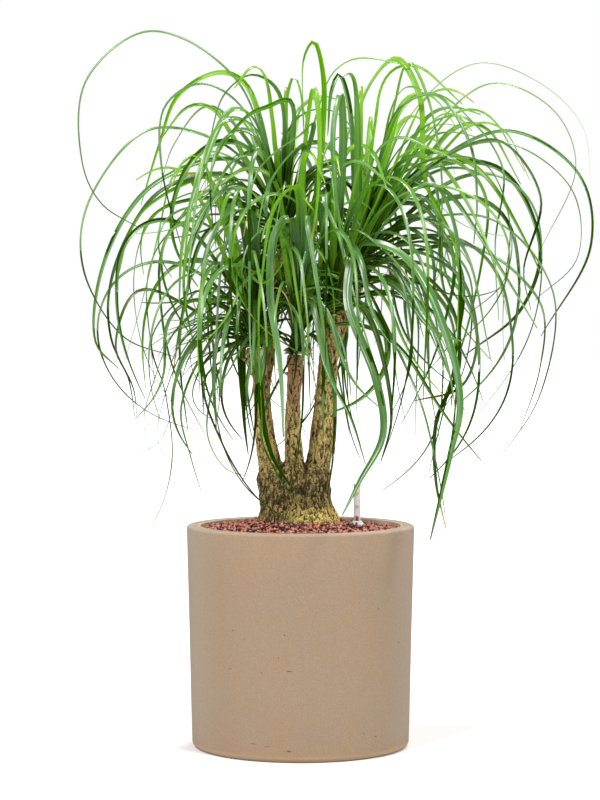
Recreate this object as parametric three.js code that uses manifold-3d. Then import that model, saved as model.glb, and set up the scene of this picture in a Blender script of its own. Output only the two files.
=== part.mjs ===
// A ponytail palm in a round planter: a swollen foot with three bare stems, five heads of long
// strap leaves that rise, arch over and hang, clay granules and a water gauge.
// Millimetres, +Z up. The origin is the middle of the planter's underside and the front faces -Y.
import * as THREE from "three";
import { mergeVertices } from "three/addons/utils/BufferGeometryUtils.js";
import Module from "manifold-3d";

const wasm = await Module();
wasm.setup();
const { Vector3, Vector2, CatmullRomCurve3, MathUtils } = THREE;
const { lerp, degToRad, smoothstep } = MathUtils;

// Planter
const POT_HEIGHT = 340;
const POT_RIM_RADIUS = 175;
const POT_FOOT_RADIUS = 167;
const POT_WALL = 20;
const POT_FLOOR = 22;
const POT_RIM_ROUND = 4.5;
const POT_FOOT_ROUND = 9;
const POT_SIDES = 44;

// Clay granules
const FIT_GAP = 0.4; // between pieces that rest against each other
const GRANULE_EDGE_Z = 334;
const GRANULE_HEAP = 9; // how much higher the granules stand round the trunk
const HEAP_FROM = 60; // distance from the middle of the foot where the heap begins to fall
const HEAP_TO = 130; // and where the bed is level
const GRANULE_RELIEF = 4.5;
const GRANULE_RINGS = 13;
const GRANULE_SEED = 77;

// Trunk: the foot is a stack of ovals, [x, y, z, half width, half depth]
const FOOT_MIDDLE = [-2, 22];
const FOOT_SIDES = 24;
const FOOT_RINGS = [
  [-4, 22, 240, 22, 20],
  [-4, 22, 252, 40, 36],
  [-4, 22, 285, 54, 48],
  [-3, 22, 325, 62, 54],
  [-2, 22, 346, 64, 56],
  [-4, 22, 362, 59, 52],
  [-9, 22, 382, 55, 44],
  [-10, 22, 408, 55, 38],
  [-9, 22, 428, 54, 31],
  [-8, 22, 442, 44, 22],
];
const BARK_FROM_Z = 362; // smooth below, where the granules lie against it
const BARK_DEPTH = 0.07;
const STEM_SIDES = 14;

// Stems: [x, y, z, radius] up the middle of each
const STEMS = [
  [[-38, 22, 390, 24], [-49, 22, 442, 18], [-56, 22, 486, 15], [-59, 20, 532, 13.2],
    [-60, 16, 566, 14], [-66, 10, 590, 15], [-70, 8, 604, 15], [-70, 8, 612, 13]],
  [[-8, 14, 390, 22], [-10, 8, 442, 17], [-12.5, 4, 486, 14.2], [-11, 0, 532, 11.6],
    [-8, -4, 576, 12], [-7, -6, 590, 16], [-6, -6, 597, 16], [-6, -6, 602, 13]],
  [[18, 24, 385, 22], [29, 26, 442, 20], [35, 24, 486, 19], [39, 22, 532, 17.5],
    [42, 18, 585, 15], [45, 14, 620, 13.2], [50, 10, 652, 15], [50, 10, 662, 13]],
  [[-58, 20, 550, 11], [-52, 34, 596, 12], [-42, 46, 670, 10.5], [-30, 52, 730, 10.5],
    [-26, 52, 755, 12], [-26, 52, 765, 11]],
  [[42, 20, 580, 12], [60, 34, 640, 11.5], [80, 42, 690, 11], [88, 44, 712, 12],
    [88, 44, 722, 11]],
];
const STEM_STEP = 28; // length between rings
const STUB_SIDES = 7;
const STUB_TAPER = 0.7;

// Broken side shoots: [x, y, z] of root and tip, and root radius
const STUBS = [
  [[-70, 14, 582], [-90, 8, 596], 6],
  [[-14, 0, 568], [-36, -6, 580], 5.5],
];

// Water gauge
const GAUGE_X = 88.5;
const GAUGE_Y = 66;
const GAUGE_TOP_Z = 394;
const GAUGE_RADIUS = 5.5;
const GAUGE_WALL = 1.2;
const GAUGE_SIDES = 12;
const COLLAR_HEIGHT = 8;
const COLLAR_TOP_RADIUS = 6.8;
const COLLAR_FOOT_RADIUS = 12;
const COLLAR_LIP = 1.5;
const SEAT_DEPTH = 1.8; // of the collar below the level grains
const SEAT_EASE_FROM = 8; // level grains round the collar, then eased into the heap
const SEAT_EASE_TO = 24;
const TUBE_FLOOR = 2;
const DRAIN_RADIUS = 1.5; // hole in the foot of the tube
const CAP_PLUG = 6; // depth of the plug inside the tube
const CAP_RIM = 0.6; // how far the cap stands out past the tube
const CAP_SIDE = 3.4; // heights of the cap's side, its bevel and its middle above the tube
const CAP_BEVEL = 4.6;
const CAP_MIDDLE = 5.2;
const FLOAT_RADIUS = 3.4;
const FLOAT_BODY = 60;
const FLOAT_NECK = 4; // height over which the float narrows to its rod
const FLOAT_ROD_RADIUS = 1.6;
const FLOAT_HEAD_RADIUS = 3.2;
const FLOAT_HEAD = 7;
const FLOAT_TOP_Z = 348;

// Heads of leaves: core foot, core height and radius, leaves, leaf length and width ranges,
// the lean of the whole head as a heading and an angle in degrees, and on two heads the open
// side where no leaf hangs, as a heading and a half angle
const HEADS = {
  left: {
    foot: [-70, 8, 612], tall: 62, round: 13, leaves: 50,
    long: [340, 560], wide: [5, 11], lean: [190, 12],
  },
  centre: {
    foot: [-6, -6, 602], tall: 56, round: 13, leaves: 36,
    long: [340, 580], wide: [6, 13], lean: [265, 8],
  },
  right: {
    foot: [50, 10, 662], tall: 62, round: 13, leaves: 54,
    long: [400, 680], wide: [6, 13], lean: [320, 12],
  },
  upper: {
    foot: [-26, 52, 765], tall: 66, round: 12, leaves: 56,
    long: [420, 720], wide: [5, 11], lean: [165, 10], open: [300, 40],
  },
  fan: {
    foot: [88, 44, 722], tall: 66, round: 12, leaves: 66,
    long: [460, 780], wide: [6, 13], lean: [20, 12], open: [270, 50],
  },
};

// The leaves that shape the outline, each by its head, its width and the places it passes
const PLACED_LEAVES = [
  ["upper", 6,
    [-100, 10, 1025], [-230, -10, 1095], [-325, -25, 1020], [-330, -40, 890],
    [-300, -50, 830], [-245, -60, 795]],
  ["upper", 8,
    [-105, 0, 915], [-230, -10, 945], [-325, -15, 830], [-330, -20, 730],
    [-270, -25, 630], [-195, -30, 600]],
  ["upper", 9, [-100, 20, 900], [-230, 20, 860], [-300, 15, 750], [-315, 10, 620], [-280, 10, 580]],
  ["upper", 10, [-85, 0, 975], [-150, -15, 1015], [-205, -30, 980], [-210, -45, 890], [-170, -60, 730]],
  ["upper", 9, [-85, 65, 1020], [-125, 70, 1040], [-190, 75, 1005], [-220, 80, 930], [-250, 90, 835]],
  ["upper", 11, [-35, 15, 1005], [-75, 0, 1030], [-115, -15, 1000], [-135, -40, 935], [-145, -50, 850]],
  ["upper", 8, [-80, 90, 930], [-145, 100, 990], [-200, 115, 930], [-225, 120, 850]],
  ["upper", 13,
    [-75, -45, 965], [-105, -65, 970], [-150, -95, 870], [-175, -120, 770], [-180, -130, 680]],
  ["upper", 10,
    [-110, -10, 875], [-215, -10, 850], [-285, -15, 730], [-290, -15, 630],
    [-255, -20, 550], [-250, -20, 505]],
  ["upper", 9, [-20, 40, 1000], [-10, 35, 1030], [0, 30, 1005], [5, 30, 940]],
  ["centre", 16,
    [-15, -80, 810], [-35, -100, 790], [-45, -125, 700], [-30, -155, 590], [-25, -190, 485]],
  ["centre", 17,
    [-5, -85, 855], [-35, -110, 830], [-60, -150, 690], [-60, -180, 590], [-55, -210, 485]],
  ["centre", 13, [25, 0, 840], [35, -10, 1030], [20, -15, 1080], [5, -20, 1055], [5, -30, 950]],
  ["centre", 12, [10, -35, 945], [20, -60, 1005], [28, -75, 950], [25, -95, 835], [15, -110, 760]],
  ["centre", 9, [15, -90, 685], [40, -120, 580], [75, -135, 510], [95, -150, 445]],
  ["right", 15, [65, -35, 930], [60, -65, 995], [50, -80, 950], [52, -100, 850], [65, -120, 750]],
  ["right", 13,
    [75, -95, 750], [70, -120, 680], [110, -150, 570], [120, -165, 490], [84, -185, 420], [60, -200, 375]],
  ["right", 14,
    [95, -70, 770], [160, -105, 745], [220, -140, 620], [235, -155, 530],
    [220, -175, 460], [190, -190, 335]],
  ["right", 8, [90, -90, 700], [145, -115, 630], [145, -130, 530], [130, -140, 450], [145, -160, 375]],
  ["right", 8,
    [135, -50, 745], [220, -50, 690], [240, -55, 590], [205, -55, 500], [205, -60, 410], [220, -60, 340]],
  ["right", 7, [150, -40, 760], [240, -60, 720], [265, -75, 620], [240, -90, 555], [170, -110, 535]],
  ["fan", 9, [75, 55, 990], [60, 52, 1035], [48, 45, 1010], [42, 40, 940]],
  ["fan", 12,
    [95, 40, 990], [145, 10, 1055], [180, -20, 1000], [190, -40, 865], [235, -65, 760], [235, -90, 620]],
  ["fan", 12,
    [140, 10, 965], [165, -5, 1050], [195, -20, 990], [215, -35, 860], [205, -50, 720], [195, -60, 640]],
  ["fan", 11, [150, -30, 975], [205, -40, 995], [255, -60, 920], [265, -75, 830], [260, -80, 770]],
  ["fan", 4, [170, 30, 970], [270, 30, 1050], [370, 35, 1020], [435, 35, 955], [450, 40, 870]],
  ["fan", 5, [190, -10, 930], [290, -15, 1015], [385, -15, 975], [420, -15, 890], [365, -20, 760]],
  ["fan", 6, [200, 0, 890], [320, 15, 945], [430, 35, 880], [450, 45, 770], [375, 60, 630]],
  ["fan", 7, [180, -30, 880], [305, -35, 925], [410, -40, 855], [420, -45, 750], [355, -50, 685]],
  ["fan", 9, [165, -60, 860], [295, -70, 925], [360, -75, 840], [335, -80, 730], [345, -90, 670]],
  ["fan", 9, [185, 60, 885], [310, 70, 890], [375, 85, 770], [345, 90, 670], [260, 100, 600]],
  ["fan", 8, [180, -60, 890], [275, -85, 890], [315, -105, 780], [300, -120, 710], [250, -130, 665]],
  ["fan", 11, [150, -20, 915], [240, -30, 965], [305, -35, 890], [295, -40, 770], [300, -50, 655]],
  ["fan", 8, [130, 10, 790], [290, 0, 810], [385, -15, 700], [365, -25, 540], [305, -30, 445]],
  ["fan", 10, [130, 60, 745], [265, 70, 770], [375, 75, 680], [375, 80, 580], [345, 90, 480]],
  ["left", 13,
    [-90, -75, 800], [-110, -95, 770], [-125, -120, 630], [-120, -140, 490],
    [-85, -155, 415], [-15, -170, 355]],
  ["left", 6,
    [-145, -60, 685], [-235, -75, 615], [-280, -82, 510], [-260, -95, 465], [-225, -100, 480]],
  ["left", 6,
    [-155, 40, 700], [-230, 45, 630], [-210, 50, 540], [-200, 55, 440], [-215, 58, 370], [-245, 60, 310]],
  ["left", 8, [-145, -30, 640], [-205, -37, 590], [-210, -48, 490], [-195, -55, 420], [-170, -60, 405]],
  ["left", 7, [-130, -80, 655], [-180, -105, 560], [-170, -120, 485], [-125, -130, 445]],
  ["left", 8, [-135, 70, 670], [-185, 85, 590], [-165, 100, 480], [-120, 110, 450]],
];
const LEAF_SEGMENTS = 6;
const BEND_SHARE = 0.35; // how much a bend, in radians, draws the rings of a leaf together
const LEAF_KEEL = 0.15; // depth of the keel as a share of the width
const LEAF_LEAST_KEEL = 0.8;
const LEAF_SAMPLES = 120;
const ROOT_SUNK = 5;
const LOWEST_RISE = 24; // slopes at the root, in degrees, of the outermost and innermost leaves
const HIGHEST_RISE = 84;
const LEAF_TRIES = 16;
const FUSSY_TRIES = 12; // of these, how many also keep off the other leaves of the head
const FREE_FROM = 28; // the sample past which a leaf has left the crowd at its root
const LEAF_CLEARANCE = 1.2;
const GOLDEN_ANGLE = 137.508;
const LEAST_OVER_RIM = 14; // heights and distances that leaves keep from the planter
const LEAST_PAST_RIM = 12;
const BARE_MIDDLE = [-6, 22]; // no leaf hangs lower than this height near the foot and stems
const BARE_RADIUS = 76;
const BARE_BELOW_Z = 450;
const CORE_SIDES = 8;
const CORE_RINGS = [[0.15, 1], [0.7, 0.55], [1, 0.3]]; // share of a core's height, and of its radius
const CORE_FOOT = 0.85;
const CROWN_MIDDLE = [50, 0, 715]; // the rounded shape that all but the placed leaves keep within
const CROWN_REACH = [385, 295, 350];
const FOLIAGE_BOX = new THREE.Box3(new Vector3(-345, -300, 308), new Vector3(455, 310, 1100));

// ---- Shared shape making ----

// A closed skin over rings of equal length; a tip closes the far end to a point.
function loft(rings, tip) {
  const count = rings[0].length;
  const points = rings.flat();
  const faces = [];
  for (let k = 0; k < rings.length - 1; k++)
    for (let i = 0; i < count; i++) {
      const a = k * count + i;
      const b = k * count + ((i + 1) % count);
      faces.push(a, b, b + count, a, b + count, a + count);
    }
  for (let i = 1; i < count - 1; i++) faces.push(0, i + 1, i);
  const last = (rings.length - 1) * count;
  if (tip) {
    points.push(tip);
    const end = points.length - 1;
    for (let i = 0; i < count; i++) faces.push(last + i, last + ((i + 1) % count), end);
  } else for (let i = 1; i < count - 1; i++) faces.push(last, last + i, last + i + 1);
  return new wasm.Manifold(
    new wasm.Mesh({
      numProp: 3,
      vertProperties: new Float32Array(points.flatMap((p) => p.toArray())),
      triVerts: new Uint32Array(faces),
    }),
  );
}

function geometryOf(solid) {
  const mesh = solid.getMesh();
  return new THREE.BufferGeometry()
    .setAttribute("position", new THREE.BufferAttribute(mesh.vertProperties, 3))
    .setIndex(new THREE.BufferAttribute(mesh.triVerts, 1));
}

function solidOf(geometry) {
  const plain = geometry.clone().deleteAttribute("normal").deleteAttribute("uv");
  const merged = mergeVertices(plain, 1e-3);
  return new wasm.Manifold(
    new wasm.Mesh({
      numProp: 3,
      vertProperties: merged.attributes.position.array,
      triVerts: new Uint32Array(merged.index.array),
    }),
  );
}

// The largest body of a fused solid, without its sealed hollows and loose scraps.
function mainBody(solid) {
  return solid.decompose().reduce((best, one) => (one.volume() > best.volume() ? one : best));
}

// A turned piece standing on the Z axis, from [radius, height] points listed from its foot.
function turned(profile, sides) {
  const points = profile.map(([radius, height]) => new Vector2(radius, height));
  return new THREE.LatheGeometry(points, sides).rotateX(Math.PI / 2);
}

// Points of a quarter-round corner between two headings in degrees.
function corner(x, y, radius, from, to, steps) {
  return Array.from({ length: steps + 1 }, (_, i) => {
    const angle = degToRad(lerp(from, to, i / steps));
    return [x + radius * Math.cos(angle), y + radius * Math.sin(angle)];
  });
}

// A repeatable stream of numbers from 0 to 1.
function drawsFrom(seed) {
  let state = seed % 2147483647;
  return () => {
    state = (state * 16807) % 2147483647;
    return state / 2147483647;
  };
}

const plant = new THREE.Group();
function add(name, geometry, color, roughness) {
  const material = new THREE.MeshStandardMaterial({ color, roughness, metalness: 0 });
  const mesh = new THREE.Mesh(geometry, material);
  mesh.name = name;
  plant.add(mesh);
  return mesh;
}

// ---- Planter: one thick cast wall with a flat rim and a rounded foot ----

const potInner = POT_RIM_RADIUS - POT_WALL - 1;
add(
  "pot",
  turned(
    [
      [0, 0],
      ...corner(POT_FOOT_RADIUS - POT_FOOT_ROUND, POT_FOOT_ROUND, POT_FOOT_ROUND, -90, 0, 3),
      ...corner(POT_RIM_RADIUS - POT_RIM_ROUND, POT_HEIGHT - POT_RIM_ROUND, POT_RIM_ROUND, 0, 90, 3),
      [potInner + 1.5, POT_HEIGHT],
      [potInner, POT_HEIGHT - 1.5],
      [potInner, POT_FLOOR],
      [0, POT_FLOOR],
    ],
    POT_SIDES,
  ),
  "#b49c82",
  0.85,
);

// ---- Trunk: foot and stems grown as one ----

// Uneven bark: broad ribs that wander round the stem, with cross cracks between them.
function barkSwell(angle, z, strength) {
  const ribs = Math.sin(5 * angle + 0.045 * z) + 0.6 * Math.sin(8 * angle - 0.07 * z + 1);
  const cracks = Math.sin(0.31 * z + 2 * Math.sin(3 * angle));
  return 1 + strength * (0.5 * ribs + 0.4 * cracks);
}

function footRings(extra, upTo) {
  return FOOT_RINGS.filter((ring) => ring[2] <= upTo).map(([x, y, z, wide, deep]) =>
    Array.from({ length: FOOT_SIDES }, (_, i) => {
      const angle = (2 * Math.PI * i) / FOOT_SIDES;
      const swell = z > BARK_FROM_Z ? barkSwell(angle, z, BARK_DEPTH) : 1;
      return new Vector3(
        x + (wide + extra) * swell * Math.cos(angle),
        y + (deep + extra) * swell * Math.sin(angle),
        z - (z === FOOT_RINGS[0][2] ? extra : 0),
      );
    }),
  );
}

function stem(places) {
  const curve = new CatmullRomCurve3(places.map(([x, y, z]) => new Vector3(x, y, z)));
  const steps = Math.round(curve.getLength() / STEM_STEP);
  const rings = [];
  for (let k = 0; k <= steps; k++) {
    const at = k / steps;
    const middle = curve.getPoint(at);
    const along = at * (places.length - 1);
    const before = Math.min(Math.floor(along), places.length - 2);
    const radius = lerp(places[before][3], places[before + 1][3], along - before);
    const strength = k === steps ? 0 : BARK_DEPTH;
    rings.push(
      Array.from({ length: STEM_SIDES }, (_, i) => {
        const angle = (2 * Math.PI * i) / STEM_SIDES;
        const reach = radius * barkSwell(angle, middle.z, strength);
        const out = new Vector3(reach * Math.cos(angle), reach * Math.sin(angle), 0);
        return out.add(middle);
      }),
    );
  }
  return loft(rings);
}

function stub([root, tip, radius]) {
  const from = new Vector3(...root);
  const to = new Vector3(...tip);
  const along = to.clone().sub(from).normalize();
  const side = new Vector3(0, 1, 0);
  const up = along.clone().cross(side).normalize();
  const ring = (middle, size) =>
    Array.from({ length: STUB_SIDES }, (_, i) => {
      const angle = (2 * Math.PI * i) / STUB_SIDES;
      return middle
        .clone()
        .addScaledVector(up, size * Math.cos(angle))
        .addScaledVector(side, size * Math.sin(angle));
    });
  const flipped = up.clone().cross(side).dot(along) < 0;
  const rings = [ring(from, radius), ring(to, radius * STUB_TAPER)];
  return loft(flipped ? rings.map((r) => r.reverse()) : rings);
}

const trunk = wasm.Manifold.union([
  loft(footRings(0, Infinity)),
  ...STEMS.map(stem),
  ...STUBS.map(stub),
]);
add("trunk", geometryOf(mainBody(trunk)), "#8a7550", 0.9);

// ---- Granules: one bed, heaped a little to the trunk, its top raised into grains ----

const bedRadius = potInner - FIT_GAP;
function bedHeight(x, y, grain) {
  const toTrunk = Math.hypot(x - FOOT_MIDDLE[0], y - FOOT_MIDDLE[1]);
  const toGauge = Math.hypot(x - GAUGE_X, y - GAUGE_Y);
  const heap = GRANULE_HEAP * (1 - smoothstep(toTrunk, HEAP_FROM, HEAP_TO));
  const offCollar = toGauge - COLLAR_FOOT_RADIUS;
  const calm = smoothstep(offCollar, SEAT_EASE_FROM, SEAT_EASE_TO);
  return GRANULE_EDGE_Z + heap * calm + GRANULE_RELIEF * (grain - 0.5) * calm;
}
const bedRings = [POT_FLOOR + FIT_GAP, GRANULE_EDGE_Z - 6].map((z) =>
  Array.from({ length: POT_SIDES }, (_, i) => {
    const angle = (2 * Math.PI * i) / POT_SIDES;
    return new Vector3(bedRadius * Math.cos(angle), bedRadius * Math.sin(angle), z);
  }),
);
const grain = drawsFrom(GRANULE_SEED);
for (let k = 0; k < GRANULE_RINGS; k++) {
  const radius = bedRadius * (1 - k / GRANULE_RINGS);
  bedRings.push(
    Array.from({ length: POT_SIDES }, (_, i) => {
      const angle = (2 * Math.PI * i) / POT_SIDES;
      const x = radius * Math.cos(angle);
      const y = radius * Math.sin(angle);
      return new Vector3(x, y, bedHeight(x, y, grain()));
    }),
  );
}
const bed = loft(bedRings, new Vector3(0, 0, GRANULE_EDGE_Z));
const trunkHole = loft(footRings(FIT_GAP, BARK_FROM_Z));
// A plain hole for the gauge, with a flat seat pressed into the grains for its collar.
const collarSeat = GRANULE_EDGE_Z - SEAT_DEPTH;
const gaugeHole = solidOf(
  turned(
    [
      [0, 0],
      [GAUGE_RADIUS + FIT_GAP, 0],
      [GAUGE_RADIUS + FIT_GAP, collarSeat],
      [COLLAR_FOOT_RADIUS + FIT_GAP, collarSeat],
      [COLLAR_FOOT_RADIUS + FIT_GAP, POT_HEIGHT + 20],
      [0, POT_HEIGHT + 20],
    ],
    GAUGE_SIDES,
  ).translate(GAUGE_X, GAUGE_Y, 0),
);
add("granules", geometryOf(mainBody(bed.subtract(trunkHole).subtract(gaugeHole))), "#a8604c", 0.8);

// ---- Water gauge: a clear tube on the planter's floor, with a float inside and a collar ----

const gauge = new THREE.Group();
gauge.position.set(GAUGE_X, GAUGE_Y, 0);
plant.add(gauge);
function addToGauge(name, profile, color, roughness) {
  gauge.add(add(name, turned(profile, GAUGE_SIDES), color, roughness));
}
const tubeFoot = POT_FLOOR + FIT_GAP;
const tubeInner = GAUGE_RADIUS - GAUGE_WALL;
addToGauge(
  "gauge_tube",
  [
    [DRAIN_RADIUS, tubeFoot],
    [GAUGE_RADIUS, tubeFoot],
    [GAUGE_RADIUS, GAUGE_TOP_Z],
    [tubeInner, GAUGE_TOP_Z],
    [tubeInner, tubeFoot + TUBE_FLOOR],
    [DRAIN_RADIUS, tubeFoot + TUBE_FLOOR],
    [DRAIN_RADIUS, tubeFoot],
  ],
  "#d8d6d8",
  0.3,
);
addToGauge(
  "gauge_cap",
  [
    [0, GAUGE_TOP_Z - CAP_PLUG],
    [tubeInner - FIT_GAP, GAUGE_TOP_Z - CAP_PLUG],
    [tubeInner - FIT_GAP, GAUGE_TOP_Z + FIT_GAP],
    [GAUGE_RADIUS + CAP_RIM, GAUGE_TOP_Z + FIT_GAP],
    [GAUGE_RADIUS + CAP_RIM, GAUGE_TOP_Z + CAP_SIDE],
    [GAUGE_RADIUS - 1, GAUGE_TOP_Z + CAP_BEVEL],
    [0, GAUGE_TOP_Z + CAP_MIDDLE],
  ],
  "#d0d0d2",
  0.4,
);
const floatFoot = tubeFoot + TUBE_FLOOR + FIT_GAP;
addToGauge(
  "gauge_float",
  [
    [0, floatFoot],
    [FLOAT_RADIUS, floatFoot],
    [FLOAT_RADIUS, floatFoot + FLOAT_BODY],
    [FLOAT_ROD_RADIUS, floatFoot + FLOAT_BODY + FLOAT_NECK],
    [FLOAT_ROD_RADIUS, FLOAT_TOP_Z - FLOAT_HEAD - 1],
    [FLOAT_HEAD_RADIUS, FLOAT_TOP_Z - FLOAT_HEAD],
    [FLOAT_HEAD_RADIUS, FLOAT_TOP_Z],
    [0, FLOAT_TOP_Z],
  ],
  "#b02a14",
  0.5,
);
const collarFoot = collarSeat + FIT_GAP;
const collarInner = GAUGE_RADIUS + FIT_GAP;
addToGauge(
  "gauge_collar",
  [
    [collarInner, collarFoot],
    [COLLAR_FOOT_RADIUS, collarFoot],
    [COLLAR_FOOT_RADIUS, collarFoot + COLLAR_LIP],
    [COLLAR_TOP_RADIUS, collarFoot + COLLAR_HEIGHT],
    [collarInner, collarFoot + COLLAR_HEIGHT],
    [collarInner, collarFoot],
  ],
  "#e2e0de",
  0.5,
);

// ---- Leaves ----

// Balls along every leaf, stem, core and the gauge, sorted into cells, show what a leaf would meet.
const CELL = 20;
const taken = new Map();
const cellOf = (p, dx, dy, dz) =>
  `${Math.floor(p.x / CELL) + dx},${Math.floor(p.y / CELL) + dy},${Math.floor(p.z / CELL) + dz}`;
function occupy(point, radius, owner, sample = 0) {
  const key = cellOf(point, 0, 0, 0);
  if (!taken.has(key)) taken.set(key, []);
  taken.get(key).push({ point, radius, owner, sample });
}
function meets(point, radius, owner, sample, fussy) {
  for (let dx = -1; dx <= 1; dx++)
    for (let dy = -1; dy <= 1; dy++)
      for (let dz = -1; dz <= 1; dz++)
        for (const ball of taken.get(cellOf(point, dx, dy, dz)) ?? []) {
          const own = ball.owner === owner;
          if (own && !(fussy && Math.min(sample, ball.sample) > FREE_FROM)) continue;
          const apart = own ? 0.5 * (ball.radius + radius) : ball.radius + radius;
          if (ball.point.distanceTo(point) < apart) return true;
        }
  return false;
}
for (const places of STEMS) {
  const curve = new CatmullRomCurve3(places.map(([x, y, z]) => new Vector3(x, y, z)));
  const widest = Math.max(...places.map((place) => place[3]));
  for (let k = 0; k <= 60; k++) occupy(curve.getPoint(k / 60), Math.min(widest, 17), "trunk");
}
for (let z = POT_HEIGHT; z < GAUGE_TOP_Z + 20; z += 6)
  occupy(new Vector3(GAUGE_X, GAUGE_Y, z), COLLAR_FOOT_RADIUS, "gauge");
for (const [name, head] of Object.entries(HEADS))
  for (let z = 4; z < head.tall; z += 8)
    occupy(new Vector3(...head.foot).setZ(head.foot[2] + z), head.round + 3, name);

function insideCrown({ x, y, z }) {
  const out = [x, y, z].map((value, axis) => (value - CROWN_MIDDLE[axis]) / CROWN_REACH[axis]);
  return Math.hypot(...out) < 1;
}

// Whether a leaf hangs clear of the planter, the other heads, the stems and the gauge.
function hangsClear(path, width, owner, fussy) {
  return path.every((point, k) => {
    if (!FOLIAGE_BOX.containsPoint(point)) return false;
    const toAxis = Math.hypot(point.x, point.y);
    const overPot = toAxis < POT_RIM_RADIUS + LEAST_PAST_RIM;
    if (overPot && point.z < POT_HEIGHT + LEAST_OVER_RIM) return false;
    const nearFoot = Math.hypot(point.x - BARE_MIDDLE[0], point.y - BARE_MIDDLE[1]) < BARE_RADIUS;
    if (nearFoot && point.z < BARE_BELOW_Z) return false;
    const reach = 0.5 * leafWidth(width, k / (path.length - 1)) + LEAF_CLEARANCE;
    return k < 2 || !meets(point, reach, owner, k, fussy);
  });
}

// Broad for most of its length, then drawn out to a fine tip.
function leafWidth(width, along) {
  return width * (0.45 + 0.55 * smoothstep(along, 0, 0.16)) * (1 - 0.86 * Math.pow(along, 2.2));
}

// The place on the core where a leaf with this heading grows, sunk well into it.
function rootOf(head, heading, share) {
  const [x, y, z] = head.foot;
  const radius = head.round * (1 - 0.75 * share) - ROOT_SUNK * (1 - share);
  return new Vector3(
    x + radius * Math.cos(heading),
    y + radius * Math.sin(heading),
    z + 6 + share * (head.tall - 14),
  );
}

// A leaf that rises from its root at one slope, bends over at its knee and ends at another.
function archedPath(root, heading, turn, rise, fall, knee, bend, curl, length) {
  const step = length / LEAF_SAMPLES;
  const path = [root];
  for (let k = 0; k < LEAF_SAMPLES; k++) {
    const along = (k + 0.5) / LEAF_SAMPLES;
    const slope =
      lerp(rise, fall, smoothstep(along, knee - bend / 2, knee + bend / 2)) +
      curl * smoothstep(along, 0.55, 1);
    const way = heading + turn * along * along;
    path.push(
      path[k]
        .clone()
        .add(
          new Vector3(
            step * Math.cos(slope) * Math.cos(way),
            step * Math.cos(slope) * Math.sin(way),
            step * Math.sin(slope),
          ),
        ),
    );
  }
  return path;
}

// The samples where a blade's rings stand: closer together where the leaf bends.
function ringSamples(path) {
  const steps = path.slice(1).map((point, k) => point.clone().sub(path[k]).normalize());
  const gone = [0];
  for (let k = 1; k < path.length; k++) {
    const bend = k < steps.length ? steps[k].angleTo(steps[k - 1]) : 0;
    gone.push(gone[k - 1] + 1 / path.length + BEND_SHARE * bend);
  }
  const whole = gone[gone.length - 1];
  return Array.from({ length: LEAF_SEGMENTS + 1 }, (_, s) =>
    gone.findIndex((value) => value >= (whole * s) / LEAF_SEGMENTS - 1e-9),
  );
}

// The straight runs between a blade's rings, with as many samples as its path.
function straightened(path, stops) {
  return path.map((_, k) => {
    const next = Math.max(1, stops.findIndex((stop) => stop >= k));
    const from = stops[next - 1];
    return path[from].clone().lerp(path[stops[next]], (k - from) / (stops[next] - from));
  });
}

const leaves = Object.fromEntries(Object.keys(HEADS).map((name) => [name, []]));
function growIfClear(name, path, width, twist, fussy) {
  const stops = ringSamples(path);
  const runs = straightened(path, stops);
  if (!hangsClear(runs, width, name, fussy)) return false;
  leaves[name].push({ path, stops, width, twist });
  runs.forEach((point, k) => occupy(point, 0.5 * leafWidth(width, k / (path.length - 1)), name, k));
  return true;
}

// The placed leaves first, each bent forward or back until it is clear of what hangs there.
PLACED_LEAVES.forEach(([name, width, ...places], index) => {
  const head = HEADS[name];
  const first = places[0];
  const heading = Math.atan2(first[1] - head.foot[1], first[0] - head.foot[0]);
  const out = Math.hypot(first[0] - head.foot[0], first[1] - head.foot[1]);
  const rise = Math.atan2(first[2] - head.foot[2] - head.tall / 2, out);
  const share = MathUtils.clamp(MathUtils.inverseLerp(LOWEST_RISE, HIGHEST_RISE, rise / degToRad(1)), 0, 1);
  const root = rootOf(head, heading, share);
  for (const shift of [0, 12, -12, 24, -24, 36, -36, 50, -50, 65, -65]) {
    const marks = places.map(([x, y, z], k) => new Vector3(x, y + shift * Math.min(1, 0.5 + k / 3), z));
    const path = new CatmullRomCurve3([root, ...marks]).getSpacedPoints(LEAF_SAMPLES);
    if (growIfClear(name, path, width, degToRad(40 * Math.sin(2.4 * index)), false)) break;
  }
});

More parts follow.
